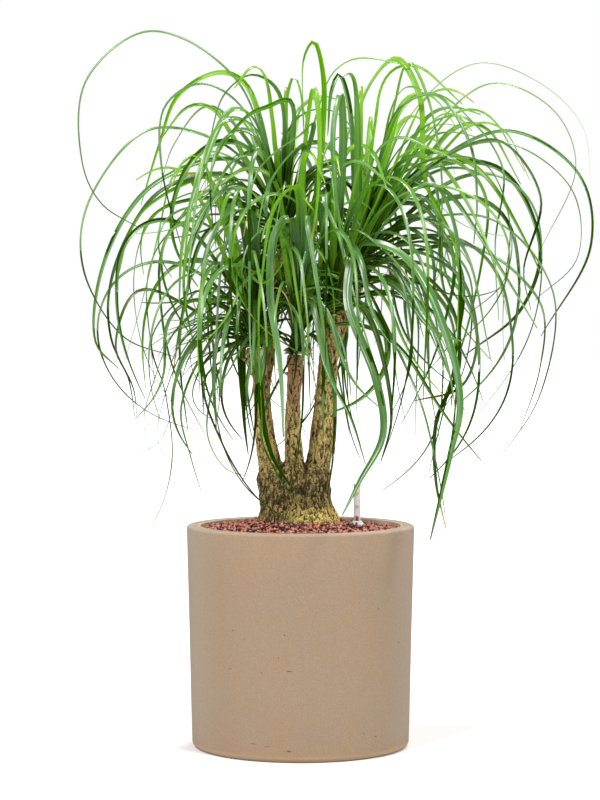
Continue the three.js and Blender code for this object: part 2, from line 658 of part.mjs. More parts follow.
// The rest of each head in a spiral, the outer leaves low and soon over, the inner ones upright.
Object.entries(HEADS).forEach(([name, head], order) => {
  for (let i = 0; i < head.leaves; i++) {
    const share = i / (head.leaves - 1);
    for (let attempt = 0; attempt < LEAF_TRIES; attempt++) {
      const draw = drawsFrom(1 + 100003 * (order + 1) + 977 * i + 31 * attempt);
      for (let skip = 0; skip < 4; skip++) draw();
      const heading = degToRad(i * GOLDEN_ANGLE + (14 + 6 * attempt) * (draw() - 0.5));
      if (head.open && Math.cos(heading - degToRad(head.open[0])) > Math.cos(degToRad(head.open[1]))) continue;
      const leanTo = Math.cos(heading - degToRad(head.lean[0]));
      const level = lerp(LOWEST_RISE, HIGHEST_RISE, share) + 8 * (draw() - 0.5);
      const rise = degToRad(level - head.lean[1] * leanTo);
      const fall = degToRad(-52 - 52 * draw());
      const knee = lerp(0.22, 0.4, share) + 0.16 * (draw() - 0.4);
      const bend = lerp(0.4, 0.8, draw());
      const turn = degToRad(110 * (draw() - 0.5));
      const curl = degToRad(130 * (draw() - 0.55));
      const fullLength = lerp(head.long[0], head.long[1], draw()) * (1 + 0.12 * leanTo);
      const length = fullLength * (1 - 0.035 * attempt);
      const width = lerp(head.wide[0], head.wide[1], Math.pow(draw(), 1.3));
      const twist = degToRad(110 * (draw() - 0.5));
      const root = rootOf(head, heading, share);
      const path = archedPath(root, heading, turn, rise, fall, knee, bend, curl, length);
      if (!path.every(insideCrown)) continue;
      if (growIfClear(name, path, width, twist, attempt < FUSSY_TRIES)) break;
    }
  }
});

// A blade: flat on top with a keel below, its sides carried along the path without spin.
function blade({ path, stops, width, twist }) {
  const tangents = path.map((_, k) =>
    path[Math.min(k + 1, path.length - 1)].clone().sub(path[Math.max(k - 1, 0)]).normalize(),
  );
  const side = tangents[0].clone().cross(new Vector3(0, 0, 1)).normalize();
  const sides = tangents.map((tangent) =>
    side.addScaledVector(tangent, -side.dot(tangent)).normalize().clone(),
  );
  const rings = stops.slice(0, -1).map((k) => {
    const along = k / (path.length - 1);
    const across = sides[k].clone().applyAxisAngle(tangents[k], twist * along);
    const up = across.clone().cross(tangents[k]).normalize();
    const half = leafWidth(width, along) / 2;
    const keel = Math.max(LEAF_LEAST_KEEL, LEAF_KEEL * 2 * half);
    return [
      path[k].clone().addScaledVector(up, -keel),
      path[k].clone().addScaledVector(across, -half),
      path[k].clone().addScaledVector(across, half),
    ];
  });
  return loft(rings, path[path.length - 1]);
}

function coreOf(head) {
  const [x, y, z] = head.foot;
  const shape = [[FIT_GAP, CORE_FOOT], ...CORE_RINGS.map(([share, size]) => [share * head.tall, size])];
  return loft(
    shape.map(([rise, size]) =>
      Array.from({ length: CORE_SIDES }, (_, i) => {
        const angle = (2 * Math.PI * i) / CORE_SIDES;
        return new Vector3(
          x + size * head.round * Math.cos(angle),
          y + size * head.round * Math.sin(angle),
          z + rise,
        );
      }),
    ),
  );
}

for (const [name, head] of Object.entries(HEADS)) {
  const fused = wasm.Manifold.union([coreOf(head), ...leaves[name].map(blade)]);
  add(`leaves_${name}`, geometryOf(mainBody(fused)), "#4f8f3f", 0.55);
}

export default plant;
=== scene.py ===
"""A potted ponytail palm: cast planter, clay granules, barked trunk, five heads of strap leaves
and a water gauge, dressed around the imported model. Sizes and places are in millimetres, and MM
turns them into Blender's metres. The stage, and the scales inside materials, are in metres."""

import math

import bmesh
import bpy
from mathutils import Matrix, Vector, noise


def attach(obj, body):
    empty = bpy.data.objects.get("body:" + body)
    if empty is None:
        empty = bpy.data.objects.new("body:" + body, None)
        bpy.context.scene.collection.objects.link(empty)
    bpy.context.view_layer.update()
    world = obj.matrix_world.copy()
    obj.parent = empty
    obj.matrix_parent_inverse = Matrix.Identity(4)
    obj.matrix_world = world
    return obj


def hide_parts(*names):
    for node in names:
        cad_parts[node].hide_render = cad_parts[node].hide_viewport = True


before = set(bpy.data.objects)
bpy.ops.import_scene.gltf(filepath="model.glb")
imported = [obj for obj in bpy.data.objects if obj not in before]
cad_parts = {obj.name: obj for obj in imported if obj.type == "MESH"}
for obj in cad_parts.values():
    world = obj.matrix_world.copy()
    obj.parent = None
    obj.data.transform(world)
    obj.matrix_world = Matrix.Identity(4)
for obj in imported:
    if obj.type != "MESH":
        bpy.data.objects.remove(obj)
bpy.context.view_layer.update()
MM = 0.001

# ---- Planter ----
# One thick wall of stone and fibre mix, cast in a mould and washed back to its fine grain.
# Its rim is flat with a soft outer edge, and its foot is rounded and stands on the floor.

POT_HEIGHT = 340
POT_RIM_RADIUS = 175
POT_FOOT_RADIUS = 167
POT_INNER_RADIUS = 154
POT_FLOOR = 22
POT_RIM_ROUND = 4.5
POT_INNER_ROUND = 2
POT_FOOT_ROUND = 9
POT_STEPS = 144
# The wall bellies out a little: [height, how far outside the foot's radius]
POT_BELLY = [(90, 2), (180, 4), (270, 6.3)]
POT_BASE_RING = 118
POT_INNER_RING_Z = 200
# Warmer low down between these heights, lifted by painted light up to this one against the shade
# at the rounded foot, and worn pale at the rim's inner edge, with painted light on the inner wall's
# shaded band: how far out from the inside, and how far below the top
WARM_FOOT = (15, 50)
PAINTED_LIGHT_FOOT = 12
WORN_LIT_RIM = (1.5, 4)
WORN_LIT_DEPTH = (16, 10)
POT_TAN = (0.395, 0.278, 0.180, 1)
POT_GREY = (0.372, 0.281, 0.198, 1)
POT_WARM = (0.415, 0.274, 0.163, 1)
POT_PIT = (0.060, 0.040, 0.028, 1)
POT_WEAR_AND_LIGHT = (0.66, 0.54, 0.40, 1)
# Painted sheen colour for faces seen edge on
POT_EDGE_SHEEN = (0.41, 0.325, 0.250, 1)
POT_PITTED = 0.8
# Chips and scratches in the cast face: [turn from the front in degrees, height, half width,
# half height], and how deep into the wall they are coloured
POT_MARKS = [
    (-5.5, 137, 6.3, 1.12), (-38, 136, 3.5, 0.84), (-20, 134, 1.54, 1.54), (-11, 157, 1.54, 1.26),
    (-8, 191, 1.68, 1.54), (-36, 194, 1.54, 1.54), (-29, 182, 1.4, 1.12), (60, 169, 1.82, 1.4),
    (42, 33, 3.5, 1.12), (34, 40, 1.54, 1.54), (-6, 18, 4.9, 1.82), (-25, 27, 9.8, 0.7),
    (-17, 24, 7, 0.7), (42, 226, 1.26, 1.26),
]
MARK_DEPTH = 4


def put(tree, kind, sockets=(), **settings):
    """Adds a shader node. A socket that is given another node's output is linked to it."""
    node = tree.nodes.new(kind)
    for name, value in settings.items():
        setattr(node, name, value)
    for name, value in dict(sockets).items():
        if isinstance(value, bpy.types.NodeSocket):
            tree.links.new(value, node.inputs[name])
        else:
            node.inputs[name].default_value = value
    return node


def maths(tree, operation, a, b=0.0):
    return put(tree, "ShaderNodeMath", {0: a, 1: b}, operation=operation).outputs[0]


def times(tree, a, b):
    return maths(tree, "MULTIPLY", a, b)


def from_middle(tree, value):
    """How far above or below one half a value is."""
    return maths(tree, "SUBTRACT", value, 0.5)


def ramp(tree, value, low, high, start=0.0, end=1.0):
    """A smooth step of a value from low to high."""
    node = put(tree, "ShaderNodeMapRange", {"Value": value}, interpolation_type="SMOOTHSTEP")
    node.inputs["From Min"].default_value = low
    node.inputs["From Max"].default_value = high
    node.inputs["To Min"].default_value = start
    node.inputs["To Max"].default_value = end
    return node.outputs["Result"]


def part_of(tree, vector, axis):
    """One of the three parts of a vector."""
    return put(tree, "ShaderNodeSeparateXYZ", {0: vector}).outputs[axis]


def painted(tree, name):
    """A value that the mesh carries at each of its points."""
    return put(tree, "ShaderNodeAttribute", attribute_name=name).outputs["Fac"]


def facing_edge(tree):
    """0 where a face is seen square on, 1 where it is seen edge on."""
    return put(tree, "ShaderNodeLayerWeight", {"Blend": 0.5}).outputs["Facing"]


def blend_colour(tree, share, first, second, way="MIX"):
    node = put(tree, "ShaderNodeMix", data_type="RGBA", blend_type=way)
    for socket, value in ((node.inputs[0], share), (node.inputs[6], first), (node.inputs[7], second)):
        if isinstance(value, bpy.types.NodeSocket):
            tree.links.new(value, socket)
        else:
            socket.default_value = value
    return node.outputs[2]


def shaded(tree, colour, value, darkest, palest):
    """A colour made darker and paler by the middle of a noise."""
    return blend_colour(tree, 1.0, colour, ramp(tree, value, 0.3, 0.7, darkest, palest), "MULTIPLY")


def grain(tree, where, scale, detail=3, roughness=0.55):
    """Soft noise at a scale per metre."""
    sockets = {"Vector": where, "Scale": scale, "Detail": detail, "Roughness": roughness}
    return put(tree, "ShaderNodeTexNoise", sockets).outputs["Fac"]


def new_material(name):
    """A node material, its shader and the piece's own coordinates in metres."""
    material = bpy.data.materials.new(name)
    material.use_nodes = True
    tree = material.node_tree
    where = put(tree, "ShaderNodeTexCoord").outputs["Object"]
    return material, tree, tree.nodes["Principled BSDF"], where


def bump(tree, shader, height, strength, distance):
    sockets = {"Height": height, "Strength": strength, "Distance": distance}
    tree.links.new(put(tree, "ShaderNodeBump", sockets).outputs[0], shader.inputs["Normal"])


def finish_piece(name, bm, material, replaced, sharp=35):
    """Turns a bmesh into a shaded piece that rides with the plant and may stand for a CAD node."""
    bm.normal_update()
    for edge in bm.edges:
        bend = edge.calc_face_angle(0) if len(edge.link_faces) == 2 else 0
        edge.smooth = bend < math.radians(sharp)
    for face in bm.faces:
        face.smooth = True
    mesh = bpy.data.meshes.new(name)
    bm.to_mesh(mesh)
    bm.free()
    mesh.materials.append(material)
    piece = bpy.data.objects.new(name, mesh)
    bpy.context.scene.collection.objects.link(piece)
    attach(piece, "root")
    if replaced:
        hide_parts(replaced)
    return piece


def turned_on(profile, steps, x=0.0, y=0.0):
    """A bmesh spun about an upright axis at x, y from [radius, height] points."""
    bm = bmesh.new()
    verts = [bm.verts.new(((x + radius) * MM, y * MM, z * MM)) for radius, z in profile]
    edges = [bm.edges.new(pair) for pair in zip(verts, verts[1:])]
    bmesh.ops.spin(
        bm, geom=verts + edges, cent=(x * MM, y * MM, 0), axis=(0, 0, 1),
        angle=math.tau, steps=steps, use_merge=True,
    )
    bmesh.ops.remove_doubles(bm, verts=bm.verts, dist=1e-6)
    bmesh.ops.recalc_face_normals(bm, faces=bm.faces)
    return bm


def rounded(x, y, radius, start, end, steps):
    """Points of a round corner between two headings in degrees."""
    angles = [math.radians(start + (end - start) * i / steps) for i in range(steps + 1)]
    return [(x + radius * math.cos(a), y + radius * math.sin(a)) for a in angles]


def mark_group():
    """A node group whose mask is a small ragged smudge of a given size round a centre."""
    group = bpy.data.node_groups.new("cast_mark", "ShaderNodeTree")
    for name in ("Where", "Centre", "Size"):
        group.interface.new_socket(name, in_out="INPUT", socket_type="NodeSocketVector")
    group.interface.new_socket("Mask", in_out="OUTPUT", socket_type="NodeSocketFloat")
    where, centre, size = put(group, "NodeGroupInput").outputs[:3]
    away = put(group, "ShaderNodeVectorMath", {0: where, 1: centre}, operation="SUBTRACT")
    scaled = put(group, "ShaderNodeVectorMath", {0: away.outputs[0], 1: size}, operation="DIVIDE")
    length = put(group, "ShaderNodeVectorMath", {0: scaled.outputs[0]}, operation="LENGTH")
    ragged = times(group, grain(group, where, 900), 0.9)
    reach = maths(group, "ADD", length.outputs["Value"], ragged)
    put(group, "NodeGroupOutput", {"Mask": ramp(group, reach, 0.75, 1.35, 1.0, 0.0)})
    return group


def planter_material():
    material, tree, shader, where = new_material("washed_stone")
    height = part_of(tree, where, "Z")
    cloud = grain(tree, where, 9, 4, 0.6)
    patch = grain(tree, where, 26, 4, 0.6)
    speck = grain(tree, where, 560, 2, 0.7)
    colour = blend_colour(tree, ramp(tree, cloud, 0.35, 0.7, 0, 0.6), POT_TAN, POT_GREY)
    colour = blend_colour(tree, ramp(tree, patch, 0.4, 0.75, 0, 0.35), colour, POT_WARM)
    # Painted sheen: faces seen edge on are greyed paler
    colour = blend_colour(tree, ramp(tree, facing_edge(tree), 0.2, 0.75, 0, 0.8), colour, POT_EDGE_SHEEN)
    uneven = maths(tree, "ADD", height, times(tree, patch, 0.03))
    warm_foot = ramp(tree, uneven, WARM_FOOT[0] * MM, WARM_FOOT[1] * MM, 0.65, 0)
    colour = blend_colour(tree, warm_foot, colour, POT_WARM)
    colour = shaded(tree, colour, speck, 0.89, 1.1)
    # Chips and scratches at their places, and a few pores anywhere
    dust = put(tree, "ShaderNodeTexVoronoi", {"Vector": where, "Scale": 160.0, "Randomness": 1.0})
    pores = ramp(tree, dust.outputs["Distance"], 0.03, 0.075, 1.0, 0.0)
    lot = put(tree, "ShaderNodeSeparateColor", {0: dust.outputs["Color"]}).outputs[0]
    pitted = times(tree, pores, ramp(tree, lot, 0.93, 0.94))
    group = mark_group()
    for heading, z, wide, tall in POT_MARKS:
        turned = math.radians(heading)
        radius = POT_FOOT_RADIUS + (POT_RIM_RADIUS - POT_FOOT_RADIUS) * z / POT_HEIGHT
        mark = put(tree, "ShaderNodeGroup", node_tree=group)
        tree.links.new(where, mark.inputs["Where"])
        centre = Vector((radius * math.sin(turned), -radius * math.cos(turned), z))
        mark.inputs["Centre"].default_value = centre * MM
        mark.inputs["Size"].default_value = Vector((wide, MARK_DEPTH, tall)) * MM
        pitted = maths(tree, "MAXIMUM", pitted, mark.outputs["Mask"])
    colour = blend_colour(tree, times(tree, pitted, POT_PITTED), colour, POT_PIT)
    # Painted light: the rounded foot is made paler against the shade that falls on it near the floor
    painted_light_foot = ramp(tree, height, 0, PAINTED_LIGHT_FOOT * MM, 1.7, 1.0)
    colour = blend_colour(tree, 1.0, colour, painted_light_foot, "MULTIPLY")
    # The inner edge of the rim is worn pale, and painted light brightens the top band of the inner wall
    # against the shade that falls there
    level = put(tree, "ShaderNodeVectorMath", {0: where, 1: (1, 1, 0)}, operation="MULTIPLY")
    out = put(tree, "ShaderNodeVectorMath", {0: level.outputs[0]}, operation="LENGTH").outputs["Value"]
    start, end = ((POT_INNER_RADIUS + reach) * MM for reach in WORN_LIT_RIM)
    low, high = ((POT_HEIGHT - depth) * MM for depth in WORN_LIT_DEPTH)
    worn_and_lit = times(tree, ramp(tree, out, start, end, 1.0, 0.0), ramp(tree, height, low, high))
    colour = blend_colour(tree, times(tree, worn_and_lit, 0.7), colour, POT_WEAR_AND_LIGHT)
    tree.links.new(colour, shader.inputs["Base Color"])
    tree.links.new(ramp(tree, patch, 0.3, 0.7, 0.72, 0.9), shader.inputs["Roughness"])
    shader.inputs["Specular IOR Level"].default_value = 0.25
    relief = maths(tree, "SUBTRACT", times(tree, speck, 0.35), pitted)
    bump(tree, shader, relief, 0.5, 0.0006)
    return material


foot_corner = (POT_FOOT_RADIUS - POT_FOOT_ROUND, POT_FOOT_ROUND)
rim_corner = (POT_RIM_RADIUS - POT_RIM_ROUND, POT_HEIGHT - POT_RIM_ROUND)
inner_corner = (POT_INNER_RADIUS + POT_INNER_ROUND, POT_HEIGHT - POT_INNER_ROUND)
pot_profile = (
    [(0, 0), (POT_BASE_RING, 0)]
    + rounded(*foot_corner, POT_FOOT_ROUND, -90, 0, 8)
    + [(POT_FOOT_RADIUS + out, z) for z, out in POT_BELLY]
    + rounded(*rim_corner, POT_RIM_ROUND, 0, 90, 6)
    + rounded(*inner_corner, POT_INNER_ROUND, 90, 180, 3)
    + [(POT_INNER_RADIUS, POT_INNER_RING_Z), (POT_INNER_RADIUS, POT_FLOOR), (0, POT_FLOOR)]
)
finish_piece("planter", turned_on(pot_profile, POT_STEPS), planter_material(), "pot")

# ---- Clay granules ----
# Fired clay grains 4 to 6 mm across, poured to just under the rim, heaped to the trunk and
# pushed back in front of the gauge. They lie on a dark bed that is painted shade, as only the top two
# layers show.

GRAIN_SIZE = 5.4
GRAIN_PITCH = 4.8
ROW_PITCH_SHARE = 0.87
GRAIN_STRAY = 0.7
# Smallest and largest grain, and how deep and tall one is, as shares of its size
GRAIN_SIZES = (0.7, 1.2)
GRAIN_DEPTHS = (0.86, 1.0)
GRAIN_TALL = 0.9
GRAIN_DENT = 0.14
DENTS_PER_METRE = 420
# The tone under a grain, as a share of its top: painted shade
UNDERSIDE_SHADE = 0.15
# How grains are heaped by chance, how deep they sink, and how they rise away from the wall
GRAIN_HEAPED = 1.55
GRAIN_SUNK = 1.05
GRAIN_OFF_WALL = 0.35
NEAR_WALL = 30
# The lower layer's palest tone is low: painted shade on the grains deep down
# The two layers: [name, height over the bed, seed, share of places filled, palest tone]
GRAIN_LAYERS = [("granules_lower", -4.4, 11, 0.85, 0.16), ("granules_upper", -0.6, 12, 0.5, 1.0)]
GRANULE_EDGE_Z = 334
GRANULE_HEAP = 9
HEAP_REACH = (60, 130)
# Room left between pieces that lie in or on one another
FIT_GAP = 0.4
BED_DEPTH = 4
BED_RINGS = 25
BED_RING_PITCH = 6
BED_STEPS = 96
FOOT_MIDDLE = (-2, 22)
FOOT_HALF = (63, 55)
GAUGE = (88.5, 66)
COLLAR_FOOT_RADIUS = 12
FLAT_ROUND_COLLAR = (8, 24)
# The hollow in front of the collar: its depth there, how far it reaches, and its slopes
HOLLOW_DEPTH = 1.2
HOLLOW_REACH = 72
HOLLOW_SLOPES = {"ahead": 0.07, "behind": 0.6, "aside": 0.4}
CLAY_RED = (0.62, 0.21, 0.13, 1)
CLAY_BROWN = (0.060, 0.024, 0.022, 1)
CLAY_DUST = (0.86, 0.52, 0.42, 1)
CLAY_SHADE = (0.05, 0.02, 0.016, 1)


def smooth(x, low, high):
    """0 below low, 1 above high, and an eased step between."""
    share = min(1.0, max(0.0, (x - low) / (high - low)))
    return share * share * (3 - 2 * share)


DRAW_RANGE = 2147483647
DRAW_FACTOR = 16807


def draws_from(seed):
    """A repeatable stream of numbers from 0 to 1."""
    state = seed % DRAW_RANGE
    while True:
        state = state * DRAW_FACTOR % DRAW_RANGE
        yield state / DRAW_RANGE


def bed_height(x, y):
    """The level of the granules, which rises to the trunk and stays flat round the gauge."""
    to_trunk = math.hypot(x - FOOT_MIDDLE[0], y - FOOT_MIDDLE[1])
    to_gauge = math.hypot(x - GAUGE[0], y - GAUGE[1])
    flat, free = (COLLAR_FOOT_RADIUS + reach for reach in FLAT_ROUND_COLLAR)
    heap = (1 - smooth(to_trunk, *HEAP_REACH)) * smooth(to_gauge, flat, free)
    return GRANULE_EDGE_Z + GRANULE_HEAP * heap


def granule_material():
    material, tree, shader, where = new_material("fired_clay")
    tone = painted(tree, "tone")
    # The tone carries each grain's own shade of clay and the painted shade under it
    colour = blend_colour(tree, ramp(tree, tone, 0.0, 0.35), CLAY_BROWN, CLAY_RED)
    colour = blend_colour(tree, ramp(tree, tone, 0.7, 1.0, 0, 0.9), colour, CLAY_DUST)
    pores = grain(tree, where, 700, 3, 0.7)
    colour = blend_colour(tree, ramp(tree, pores, 0.5, 0.72, 0, 0.7), colour, CLAY_BROWN)
    # Painted shade round each grain's outline, where it is seen edge on
    colour = blend_colour(tree, ramp(tree, facing_edge(tree), 0.35, 0.8, 0, 0.8), colour, CLAY_SHADE)
    tree.links.new(colour, shader.inputs["Base Color"])
    shader.inputs["Roughness"].default_value = 0.72
    bump(tree, shader, pores, 0.6, 0.0006)
    return material


# The bed is painted shade: the dark between and under the grains
def shade_material():
    material, tree, shader, where = new_material("granule_shade")
    colour = blend_colour(tree, grain(tree, where, 300), CLAY_SHADE, CLAY_BROWN)
    tree.links.new(colour, shader.inputs["Base Color"])
    shader.inputs["Roughness"].default_value = 0.9
    bump(tree, shader, grain(tree, where, 260), 1.0, 0.002)
    return material


def level_by_gauge(x, y):
    """The highest that grains lie round the gauge, where they were pushed back from its collar."""
    ahead = GAUGE[1] - y
    aside = max(abs(x - GAUGE[0]) - COLLAR_FOOT_RADIUS, 0)
    slope = HOLLOW_SLOPES["ahead" if ahead > 0 else "behind"]
    rise = slope * abs(ahead) + HOLLOW_SLOPES["aside"] * aside
    return GRANULE_EDGE_Z - HOLLOW_DEPTH + rise


bed_radius = POT_INNER_RADIUS - FIT_GAP
bed_profile = [(0, POT_FLOOR + FIT_GAP), (bed_radius, POT_FLOOR + FIT_GAP)]
bed_profile += [(bed_radius - BED_RING_PITCH * k, GRANULE_EDGE_Z) for k in range(BED_RINGS)]
bed = turned_on(bed_profile + [(0, GRANULE_EDGE_Z)], BED_STEPS)
for vert in bed.verts:
    x, y, z = vert.co / MM
    if z > POT_HEIGHT / 2:
        vert.co.z = (min(bed_height(x, y), level_by_gauge(x, y) - 1) - BED_DEPTH) * MM
finish_piece("granule_bed", bed, shade_material(), "granules")


def gather(whole, part):
    """Adds one bmesh to another, and frees it."""
    mesh = bpy.data.meshes.new("part")
    part.to_mesh(mesh)
    part.free()
    whole.from_mesh(mesh)
    bpy.data.meshes.remove(mesh)


def lay_grain(bm, tone, place, grown, flat, tilt, roll, kind):
    """One grain: a small ball, turned, squashed and dented by chance, with painted shade below."""
    turned = Matrix.Rotation(math.tau * roll, 4, "Z") @ Matrix.Rotation(math.pi * tilt, 4, "X")
    deep = GRAIN_DEPTHS[0] + (GRAIN_DEPTHS[1] - GRAIN_DEPTHS[0]) * flat
    shape = Matrix.Diagonal((grown * MM, grown * deep * MM, grown * GRAIN_TALL * MM, 1))
    place = place * MM
    whole = Matrix.Translation(place) @ turned @ shape
    before = len(bm.verts)
    bm.from_mesh(ball)
    bm.verts.ensure_lookup_table()
    for vert in bm.verts[before:]:
        at = whole @ vert.co
        dent = noise.noise(at * DENTS_PER_METRE + Vector((kind * 40, 0, 0)))
        vert.co = place + (at - place) * (1 + GRAIN_DENT * dent)
        # Painted shade: the tone darkens towards the grain's underside
        lit = smooth((at - place).z / (grown * MM), -0.3, 0.35)
        vert[tone] = kind * (UNDERSIDE_SHADE + (1 - UNDERSIDE_SHADE) * lit)


def has_room(x, y, grown):
    """Whether a grain at x, y lies clear of the wall, the trunk's foot and the collar."""
    foot_x, foot_y = ((a - b) / half for a, b, half in zip((x, y), FOOT_MIDDLE, FOOT_HALF))
    if math.hypot(x, y) > POT_INNER_RADIUS - 0.5 * grown or math.hypot(foot_x, foot_y) < 1:
        return False
    return math.hypot(x - GAUGE[0], y - GAUGE[1]) >= COLLAR_FOOT_RADIUS + 0.9 * grown


def grain_level(x, y, lift, grown, chance):
    """How high the middle of a grain lies: heaped by chance, and less so beside the wall."""
    off_wall = smooth(POT_INNER_RADIUS - math.hypot(x, y), 0, NEAR_WALL)
    heaped = GRAIN_SIZE * (GRAIN_HEAPED * chance - GRAIN_SUNK + GRAIN_OFF_WALL * off_wall)
    level = bed_height(x, y) + lift + heaped
    if math.hypot(x - GAUGE[0], y - GAUGE[1]) < HOLLOW_REACH:
        level = min(level, level_by_gauge(x, y) - 0.5 * grown)
    return level


def lay_grains(lift, seed, share, palest):
    """One layer of loose grains over the bed, row by row."""
    layer = bmesh.new()
    draw = draws_from(seed)
    row_pitch = ROW_PITCH_SHARE * GRAIN_PITCH
    for row in range(int(2 * POT_INNER_RADIUS / row_pitch) + 1):
        line = bmesh.new()
        tone = line.verts.layers.float.new("tone")
        for column in range(int(2 * POT_INNER_RADIUS / GRAIN_PITCH) + 1):
            chance, ax, ay, az, tilt, roll, kind, big = (next(draw) for _ in range(8))
            stagger = 0.5 * (row % 2)
            x = GRAIN_PITCH * (column + stagger + GRAIN_STRAY * (ax - 0.5)) - POT_INNER_RADIUS
            y = row_pitch * (row + GRAIN_STRAY * (ay - 0.5)) - POT_INNER_RADIUS
            grown = GRAIN_SIZE * (GRAIN_SIZES[0] + (GRAIN_SIZES[1] - GRAIN_SIZES[0]) * big)
            if chance > share or not has_room(x, y, grown):
                continue
            place = Vector((x, y, grain_level(x, y, lift, grown, az)))
            lay_grain(line, tone, place, grown, ax, tilt, roll, palest * kind)
        gather(layer, line)
    return layer


round_grain = bmesh.new()
bmesh.ops.create_uvsphere(round_grain, u_segments=7, v_segments=5, radius=0.5)
ball = bpy.data.meshes.new("grain_shape")
round_grain.to_mesh(ball)
round_grain.free()
clay = granule_material()
for name, lift, seed, share, palest in GRAIN_LAYERS:
    finish_piece(name, lay_grains(lift, seed, share, palest), clay, None, 180)

# ---- Trunk ----
# The swollen foot and its stems are living wood under corky bark that has split into plates.
# They grew as one, so rough tubes are melted into one skin before the bark is raised on it.

# Ovals up the foot: [x, y, z, half width, half depth]
FOOT_RINGS = [
    (-4, 22, 300, 52, 46), (-3, 22, 325, 62, 54), (-2, 22, 346, 64, 56), (-4, 22, 362, 59, 52),
    (-9, 22, 382, 56, 45), (-10, 22, 408, 57, 38), (-9, 22, 426, 56, 29), (-9, 22, 434, 50, 20),
]
# Stems, the first three from the foot and two that fork off them: [x, y, z, radius]
STEMS = [
    [(-38, 22, 390, 24), (-49, 22, 442, 18), (-56, 22, 486, 15), (-59, 20, 532, 13.2),
     (-60, 16, 566, 14), (-66, 10, 590, 15), (-70, 8, 604, 15), (-70, 8, 612, 13)],
    [(-8, 14, 390, 22), (-10, 8, 442, 17), (-12.5, 4, 486, 14.2), (-11, 0, 532, 11.6),
     (-8, -4, 576, 12), (-7, -6, 590, 16), (-6, -6, 597, 16), (-6, -6, 602, 13)],
    [(18, 24, 385, 22), (29, 26, 442, 20), (35, 24, 486, 19), (39, 22, 532, 17.5),
     (42, 18, 585, 15), (45, 14, 620, 13.2), (50, 10, 652, 15), (50, 10, 662, 13)],
    [(-58, 20, 550, 11), (-52, 34, 596, 12), (-42, 46, 670, 10.5), (-30, 52, 730, 10.5),
     (-26, 52, 755, 12), (-26, 52, 765, 11)],
    [(42, 20, 580, 12), (60, 34, 640, 11.5), (80, 42, 690, 11), (88, 44, 712, 12),
     (88, 44, 722, 11)],
]
# Broken side shoots: [root, tip, radius at the root]
STUBS = [((-70, 14, 582), (-90, 8, 596), 6), ((-14, 0, 568), (-36, -6, 580), 5.5)]
STUB_TAPER = 0.75
FOOT_SIDES = 48
STEM_SIDES = 28
STUB_SIDES = 12
STEM_RING_PITCH = 7
SKIN_VOXEL = 1.5
SKIN_ROUNDS = 2
# The bark is raised above the granules, and is knotty up to where the stems part
BARK_FROM = (330, 350)
KNOTTY_TO = (395, 455)
PLATE_HEIGHT = 24
KNOTTY_HEIGHT = 11
# Folds down the front between the stems: where they are, half width, rise, depth into the foot
FOLDS = (-30, 9)
FOLD_HALF = 4.5
FOLD_RISE = (385, 432)
FOLD_FRONT = (5, 25)
FOLD_DEPTH = 3.2
# Fixes which way the plates wander, and how finely a curve is measured
BARK_SEED = 7
CURVE_STEPS = 200
BARK_TAN = (0.80, 0.59, 0.215, 1)
BARK_BROWN = (0.100, 0.074, 0.025, 1)
BARK_CRACK = (0.022, 0.015, 0.006, 1)
BARK_PINK = (0.55, 0.26, 0.15, 1)
BARK_MOSS = (0.78, 0.60, 0.17, 1)


def curve_through(marks, samples, spaced=True):
    """Points of a centripetal curve through marks, evenly spaced along it if asked."""
    marks = [Vector(mark) for mark in marks]

    def at(share):
        along = share * (len(marks) - 1)
        k = min(int(along), len(marks) - 2)
        t = along - k
        p1, p2 = marks[k], marks[k + 1]
        p0 = marks[k - 1] if k > 0 else 2 * marks[0] - marks[1]
        p3 = marks[k + 2] if k + 2 < len(marks) else 2 * marks[-1] - marks[-2]
        d0, d1, d2 = (max((b - a).length, 1e-8) ** 0.5 for a, b in ((p0, p1), (p1, p2), (p2, p3)))
        t1 = ((p1 - p0) / d0 - (p2 - p0) / (d0 + d1) + (p2 - p1) / d1) * d1
        t2 = ((p2 - p1) / d1 - (p3 - p1) / (d1 + d2) + (p3 - p2) / d2) * d1
        c2 = -3 * p1 + 3 * p2 - 2 * t1 - t2
        c3 = 2 * p1 - 2 * p2 + t1 + t2
        return p1 + t1 * t + c2 * t * t + c3 * t ** 3

    if not spaced:
        return [at(k / samples) for k in range(samples + 1)]
    fine = [at(k / CURVE_STEPS) for k in range(CURVE_STEPS + 1)]
    lengths = [0.0]
    for a, b in zip(fine, fine[1:]):
        lengths.append(lengths[-1] + (b - a).length)
    points = []
    k = 0
    for s in range(samples + 1):
        target = lengths[-1] * s / samples
        while k < CURVE_STEPS - 1 and lengths[k + 1] < target:
            k += 1
        inside = (target - lengths[k]) / max(lengths[k + 1] - lengths[k], 1e-9)
        points.append(at((k + inside) / CURVE_STEPS))
    return points


